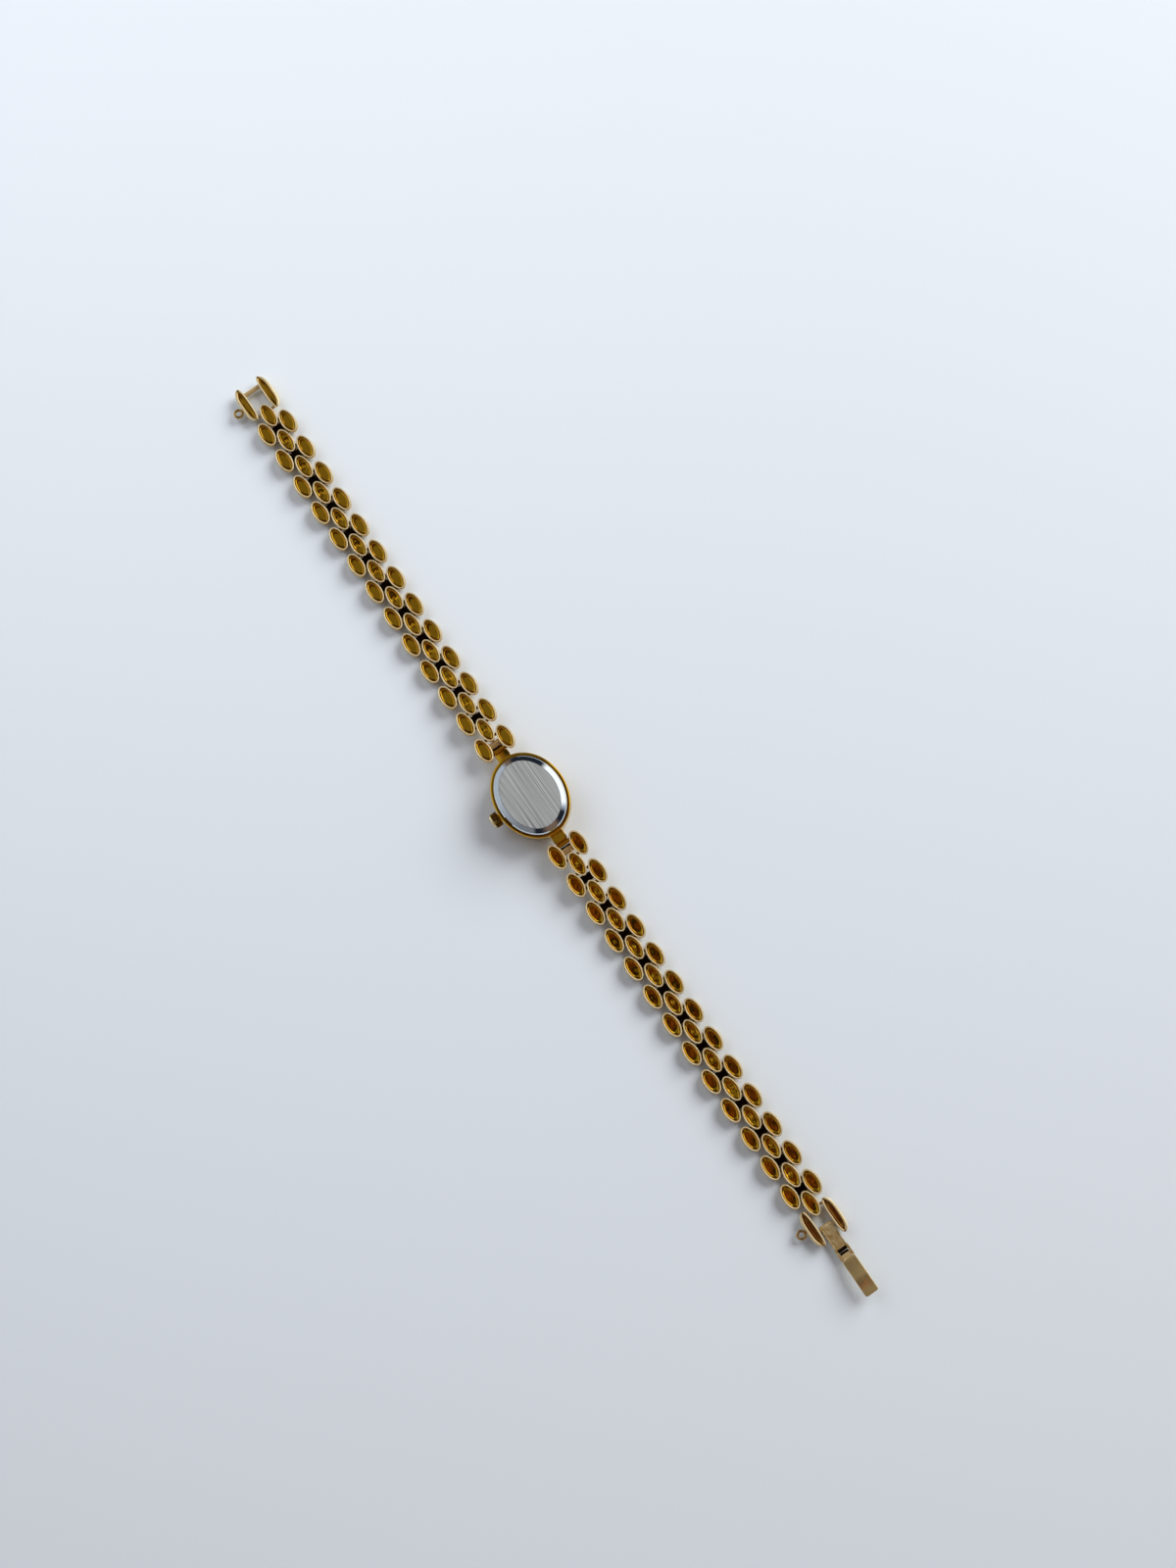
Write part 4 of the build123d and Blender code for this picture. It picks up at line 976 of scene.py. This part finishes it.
class WATCH_OT_clasp_frames(bpy.types.Operator):
    """Build the two clasp frames with their hollow ears and safety chain eyes"""

    bl_idname = "watch.clasp_frames"
    bl_label = "Clasp frames"

    def execute(self, context):
        sizes, colours = context.scene.watch_clasp, context.scene.watch_colours
        cool = finish_named("clasp_gold", clasp_gold, colours, colours.hollow)
        # The 6 o'clock frame's ears take a darker, warmer copy of the clasp gold: a painted reflection
        warm = finish_named("clasp_amber", clasp_gold, colours, colours.amber)
        kinds = (("12h", 4.55, 0.42, 1, cool), ("6h", from_frame("clasp_tongue"), PIN_RADIUS, -1, warm))
        for half, bar_x, bar_radius, eye_side, finish in kinds:
            place = frame_place(half)
            body = f"clasp_frame_{half}"
            skin = Skin()
            for side in (1, -1):
                hollow_ear(skin, sizes, side, place)
            skin.rod(bar_x, 0, bar_radius, PIN_REACH, 0.15, place)
            skin.rod(0, 0, PIN_RADIUS, PIN_REACH, 0.2, place)
            dress(f"clasp_ears_{half}", skin, finish, body, [body], 42)
            eye = Skin()
            chain_eye(eye, eye_side, place)
            dress(f"chain_ring_{half}", eye, finish, body, [f"chain_eye_{half}"])
        return {"FINISHED"}


class WATCH_OT_clasp_tongue(bpy.types.Operator):
    """Build the inner plate of the clasp with its knuckle, rails and two lobes"""

    bl_idname = "watch.clasp_tongue"
    bl_label = "Clasp tongue"

    def execute(self, context):
        finish = finish_named("tongue_gold", tongue_gold, context.scene.watch_colours)
        place = frame_place("6h")
        cover_pin = from_frame("clasp_cover")
        knuckle, start, end = 0.5, 3.6, 7.6
        rail_y, lobe_y = 1.0, 1.05
        # Outline of a lobe as x and z: a half circle round the cover's pin and a blunt back end
        turn = np.linspace(np.pi / 2, -np.pi / 2, 13)
        round_end = np.stack([cover_pin + knuckle * np.cos(turn), knuckle * np.sin(turn)], axis=-1)
        blunt = 0.1
        back_end = np.array(
            [
                (end, -knuckle), (end - blunt, blunt - knuckle),
                (end - blunt, knuckle - blunt), (end, knuckle),
            ]
        )
        outline = np.concatenate([round_end, back_end])
        middle = outline.mean(axis=0)
        skin = Skin()
        skin.rod(from_frame("clasp_tongue"), z=0, radius=knuckle, reach=1.1, place=place)
        skin.slab(start, end, z=0.29, half_y=1.06, half_z=0.14, radius=0.06, place=place)
        for side in (1, -1):
            skin.slab(
                start, 7.75, z=0.32, half_y=0.1, half_z=0.18, radius=0.07, y=side * rail_y, place=place
            )
            rings = []
            for y, drawn in ((-0.2, 0.92), (-0.16, 1.0), (0.16, 1.0), (0.2, 0.92)):
                cut = middle + (outline - middle) * drawn
                station = np.full(len(cut), side * lobe_y + y)
                rings.append(np.stack([cut[:, 0], station, cut[:, 1]], axis=-1))
            skin.wrap(rings, 0.0, place)
        skin.rod(cover_pin, z=0, radius=0.2, reach=1.25, tone=0.3, place=place)
        # Dark sheet below the gap between the lobes: a painted shade
        skin.slab(
            7.45, 8.28, z=-0.36, half_y=0.95, half_z=0.08, radius=0.05, tone=PAINTED_SHADE_TONE, place=place
        )
        dress("clasp_inner_plate", skin, finish, "clasp_tongue", ["clasp_tongue"])
        return {"FINISHED"}


class WATCH_OT_clasp_cover(bpy.types.Operator):
    """Build the polished bowed cover of the clasp"""

    bl_idname = "watch.clasp_cover"
    bl_label = "Clasp cover"

    def execute(self, context):
        sizes, colours = context.scene.watch_clasp, context.scene.watch_colours
        finish = finish_named("clasp_gold", clasp_gold, colours, colours.hollow)
        place = frame_place("6h")
        length, half_width = millimetres(sizes, "cover_length"), millimetres(sizes, "cover_width") / 2
        pin = from_frame("clasp_cover")
        # Middle line of the plate: share of its length from the pin, and height above the pin
        path = np.array([(0.06, 0.7), (0.37, 1.06), (0.62, 1.42), (0.76, 1.42), (1.0, 1.19)])
        path = soften_path(path * (length, 1.0)) + (pin, 0)
        step = np.gradient(path, axis=0)
        step /= np.linalg.norm(step, axis=1)[:, None]
        normal = np.stack([-step[:, 1], step[:, 0]], axis=-1)
        run = np.concatenate([[0], np.cumsum(np.linalg.norm(np.diff(path, axis=0), axis=1))])
        to_end = np.minimum(run, run[-1] - run)
        rounding, half_thick, unit = 0.3, 0.2, 1.0
        corner = rounding * (1 - np.sqrt(1 - (1 - np.clip(to_end / rounding, 0, 1)) ** 2))
        outline = rounded_box(unit, half_thick, 0.12, 5)
        side = np.sign(outline[:, 0])
        across = side * (np.abs(outline[:, 0]) - unit)
        widths = half_width - corner
        y = side[None] * widths[:, None] + across[None]
        points = path[:, None] + normal[:, None] * outline[None, :, 1:2]
        rings = np.stack([points[..., 0], y, points[..., 1]], axis=-1)
        skin = Skin()
        skin.wrap(rings, 0.36, place)
        root_tone, web_reach = 0.2, 0.8
        skin.rod(pin, z=0, radius=0.45, reach=0.82, tone=root_tone, place=place)
        # Dark sheet under the cover's knuckle: a painted shade
        skin.slab(
            8.35, 8.8, z=-0.2, half_y=web_reach, half_z=0.08, radius=0.05, tone=PAINTED_SHADE_TONE, place=place
        )
        web = place @ Matrix.Translation((pin, 0, 0)) @ Matrix.Rotation(-math.radians(48), 4, "Y")
        skin.slab(0, 0.9, z=0, half_y=web_reach, half_z=0.24, radius=0.08, tone=root_tone, place=web)
        dress("clasp_outer_plate", skin, finish, "clasp_cover", ["clasp_cover"], 40)
        return {"FINISHED"}


# Movement, dial and hands keep their CAD shapes, and the board and brass pieces their CAD finish too


class WATCH_OT_movement(bpy.types.Operator):
    """Give the dial, hands and small pieces of the movement their finishes"""

    bl_idname = "watch.movement"
    bl_label = "Movement and dial"

    def execute(self, context):
        colours = context.scene.watch_colours
        gold = finish_named("case_gold", case_gold, colours)
        steel = finish_named("turned_steel", turned_steel)
        seal = finish_named("seal_rubber", moulded, (0.03, 0.03, 0.03))
        white = finish_named("wheel_plastic", moulded, (0.88, 0.86, 0.78))
        ring = finish_named("ring_plastic", moulded, (0.84, 0.84, 0.82))
        magnet = finish_named("magnet_grey", moulded, (0.2, 0.2, 0.22))
        finishes = (
            (finish_named("dial_enamel", dial_enamel), ("dial",)),
            (finish_named("wound_copper", wound_copper), ("coil",)),
            (ring, ("movement_ring",)),
            (magnet, ("rotor",)),
            (gold, ("hour_markers", "hour_hand", "minute_hand")),
            (white, ("step_wheel", "third_wheel", "minute_wheel")),
            (seal, ("back_gasket", "crown_gasket")),
            (steel, ("plate_screws", "battery", "battery_clamp", "stator", "quartz_can")),
            (steel, ("stem", "setting_lever")),
        )
        for finish, nodes in finishes:
            for node in nodes:
                mesh = frame["nodes"][node].data
                mesh.materials.clear()
                mesh.materials.append(finish)
        return {"FINISHED"}


# Stage


def surroundings(world):
    """Sky for the reflections: walls with a window and three dark corners, and a grey ceiling.

    The walls change by the compass angle, the arc tangent of the direction's Y over its X. Overhead, where
    the direction's X and Y each lie between two limits, is a dark and warm patch. The camera itself sees an
    even pale sky.
    """
    world.use_nodes = True
    tree = NodeTree(world.node_tree)
    nodes, links = tree.nodes, tree.links
    nodes.clear()
    direction = nodes.new("ShaderNodeTexCoord").outputs["Generated"]

    def rise(value, low, high):
        return tree.span(value, low, high, interpolation="SMOOTHSTEP")

    def toward(way, low, high):
        dot = nodes.new("ShaderNodeVectorMath")
        dot.operation = "DOT_PRODUCT"
        links.new(direction, dot.inputs[0])
        dot.inputs[1].default_value = Vector(way).normalized()
        return rise(dot.outputs["Value"], low, high)

    def within(axis, low, high, edge):
        above = toward(axis, low - edge, low + edge)
        return tree.times(above, toward(tuple(-v for v in axis), -high - edge, -high + edge))

    parts = nodes.new("ShaderNodeSeparateXYZ")
    links.new(direction, parts.inputs[0])
    compass = tree.calculated("ARCTAN2", parts.outputs["Y"], parts.outputs["X"])
    walls = nodes.new("ShaderNodeValToRGB")
    links.new(tree.span(compass, -math.pi, math.pi), walls.inputs["Fac"])
    wall = (0.36, 0.385, 0.42)
    shady = (0.16, 0.16, 0.17)
    corner = (0.012, 0.014, 0.02)
    wood = (0.15, 0.095, 0.065)
    window = (0.98, 0.96, 0.92)
    stops = (
        (-176, wood), (-166, wall), (-110, wall), (-70, shady), (-48, shady), (-41, corner), (-28, corner),
        (-12, wood), (14, wood), (27, corner), (47, corner), (56, wall), (64, window), (113, window),
        (120, corner), (170, corner), (178, wood),
    )
    walls.color_ramp.elements.remove(walls.color_ramp.elements[1])
    for number, (angle, colour) in enumerate(stops):
        spot = 0.5 + angle / 360
        stop = walls.color_ramp.elements[0] if number == 0 else walls.color_ramp.elements.new(spot)
        stop.position = spot
        stop.color = (*colour, 1)
    gain = 1.45
    horizon = tree.blend(1.0, walls.outputs["Color"], (gain, gain, gain), "MULTIPLY")
    ceiling = (0.20, 0.19, 0.175)
    overhead = (0.012, 0.011, 0.01)
    warm = (0.27, 0.10, 0.055)
    dusk = (0.12, 0.062, 0.04)
    sky = tree.blend(toward((0, 0, 1), 0.68, 0.88), horizon, ceiling)
    cloud = nodes.new("ShaderNodeTexNoise")
    cloud.inputs["Scale"].default_value = 11
    cloud.inputs["Detail"].default_value = 2
    cloud.inputs["Distortion"].default_value = 1.2
    links.new(direction, cloud.inputs["Vector"])
    clouded = tree.times(rise(cloud.outputs["Fac"], 0.44, 0.58), toward((1, 0, 0), -0.09, 0.02))
    patch = tree.blend(clouded, overhead, warm)
    patch = tree.blend(toward((-1, 0, 0), 0.156, 0.17), patch, dusk)
    shaded = tree.times(within((1, 0, 0), -0.185, 0.35, 0.004), within((0, 1, 0), -0.7, 0.7, 0.03))
    shaded = tree.times(shaded, toward((0, 0, 1), 0.5, 0.6))
    sky = tree.blend(shaded, sky, patch)
    light_path = nodes.new("ShaderNodeLightPath")
    sky = tree.blend(light_path.outputs["Is Camera Ray"], sky, (0.80, 0.83, 0.88))
    background = nodes.new("ShaderNodeBackground")
    links.new(sky, background.inputs["Color"])
    output = nodes.new("ShaderNodeOutputWorld")
    links.new(background.outputs["Background"], output.inputs["Surface"])


def soft_lamp(name, power, size, spot, colour):
    """Square area lamp that looks at the origin and doesn't show in reflections."""
    light = bpy.data.lights.new(name, "AREA")
    light.energy = power
    light.size = size
    light.color = colour
    lamp = bpy.data.objects.new(name, light)
    lamp.location = spot
    lamp.rotation_euler = (-Vector(spot)).to_track_quat("-Z", "Y").to_euler()
    lamp.visible_glossy = False
    bpy.context.scene.collection.objects.link(lamp)


class WATCH_OT_stage(bpy.types.Operator):
    """Set up the table, the soft light and the camera"""

    bl_idname = "watch.stage"
    bl_label = "Stage"

    def execute(self, context):
        scene = context.scene
        settings, colours = scene.watch_stage, scene.watch_colours
        reach, depth = 4.0, 0.00003
        mesh = bpy.data.meshes.new("table")
        corners = [(reach * x, reach * y, -depth) for x, y in ((-1, -1), (1, -1), (1, 1), (-1, 1))]
        mesh.from_pydata(corners, [], [(0, 1, 2, 3)])
        mesh.materials.append(finish_named("table_white", table_white, colours))
        table = bpy.data.objects.new("table", mesh)
        scene.collection.objects.link(table)
        size = settings.window_size
        soft_lamp("window", settings.window_power, size, (-0.16, 0.72, 0.5), (1.0, 0.985, 0.96))
        soft_lamp("fill", settings.fill_power, size / 2, (-0.28, -0.05, 0.25), (0.93, 0.95, 1.0))
        scene.world = bpy.data.worlds.new("room")
        surroundings(scene.world)
        lens = bpy.data.cameras.new("view")
        lens.lens = settings.lens
        lens.sensor_width = 36
        lens.clip_start = 0.01
        camera = bpy.data.objects.new("view", lens)
        forward = Vector((-0.122, 0.034, -0.992)).normalized()
        right = Vector((0.570, 0.822, 0.0))
        right = (right - forward * right.dot(forward)).normalized()
        up = right.cross(forward)
        turn = Matrix((right, up, -forward)).transposed().to_4x4()
        spot = Vector((43.5, -2.1, 326.7)) * MM
        camera.matrix_world = Matrix.Translation(spot) @ turn
        scene.collection.objects.link(camera)
        scene.camera = camera
        scene.view_settings.view_transform = "Standard"
        return {"FINISHED"}


OPERATORS = (
    WATCH_OT_bracelet,
    WATCH_OT_case,
    WATCH_OT_back,
    WATCH_OT_crystal,
    WATCH_OT_crown,
    WATCH_OT_clasp_frames,
    WATCH_OT_clasp_tongue,
    WATCH_OT_clasp_cover,
    WATCH_OT_movement,
    WATCH_OT_stage,
)


class WATCH_PT_panel(bpy.types.Panel):
    """Buttons for the watch's pieces and stage"""

    bl_idname = "WATCH_PT_panel"
    bl_label = "Oval watch"
    bl_space_type = "VIEW_3D"
    bl_region_type = "UI"
    bl_category = "Watch"

    def draw(self, context):
        for operator in OPERATORS:
            self.layout.operator(operator.bl_idname)


GROUPS = {
    "watch_colours": WatchColours,
    "watch_bracelet": BraceletSizes,
    "watch_case": CaseSizes,
    "watch_clasp": ClaspSizes,
    "watch_stage": StageSettings,
}


def register():
    for made in (*GROUPS.values(), *OPERATORS, WATCH_PT_panel):
        bpy.utils.register_class(made)
    for name, group in GROUPS.items():
        setattr(bpy.types.Scene, name, PointerProperty(type=group))


def unregister():
    for name in GROUPS:
        delattr(bpy.types.Scene, name)
    for made in (WATCH_PT_panel, *reversed(OPERATORS), *reversed(list(GROUPS.values()))):
        bpy.utils.unregister_class(made)


def main():
    register()
    bpy.ops.watch.bracelet()
    bpy.ops.watch.case()
    bpy.ops.watch.back()
    bpy.ops.watch.crystal()
    bpy.ops.watch.crown()
    bpy.ops.watch.clasp_frames()
    bpy.ops.watch.clasp_tongue()
    bpy.ops.watch.clasp_cover()
    bpy.ops.watch.movement()
    bpy.ops.watch.stage()


if __name__ == "__main__":
    main()
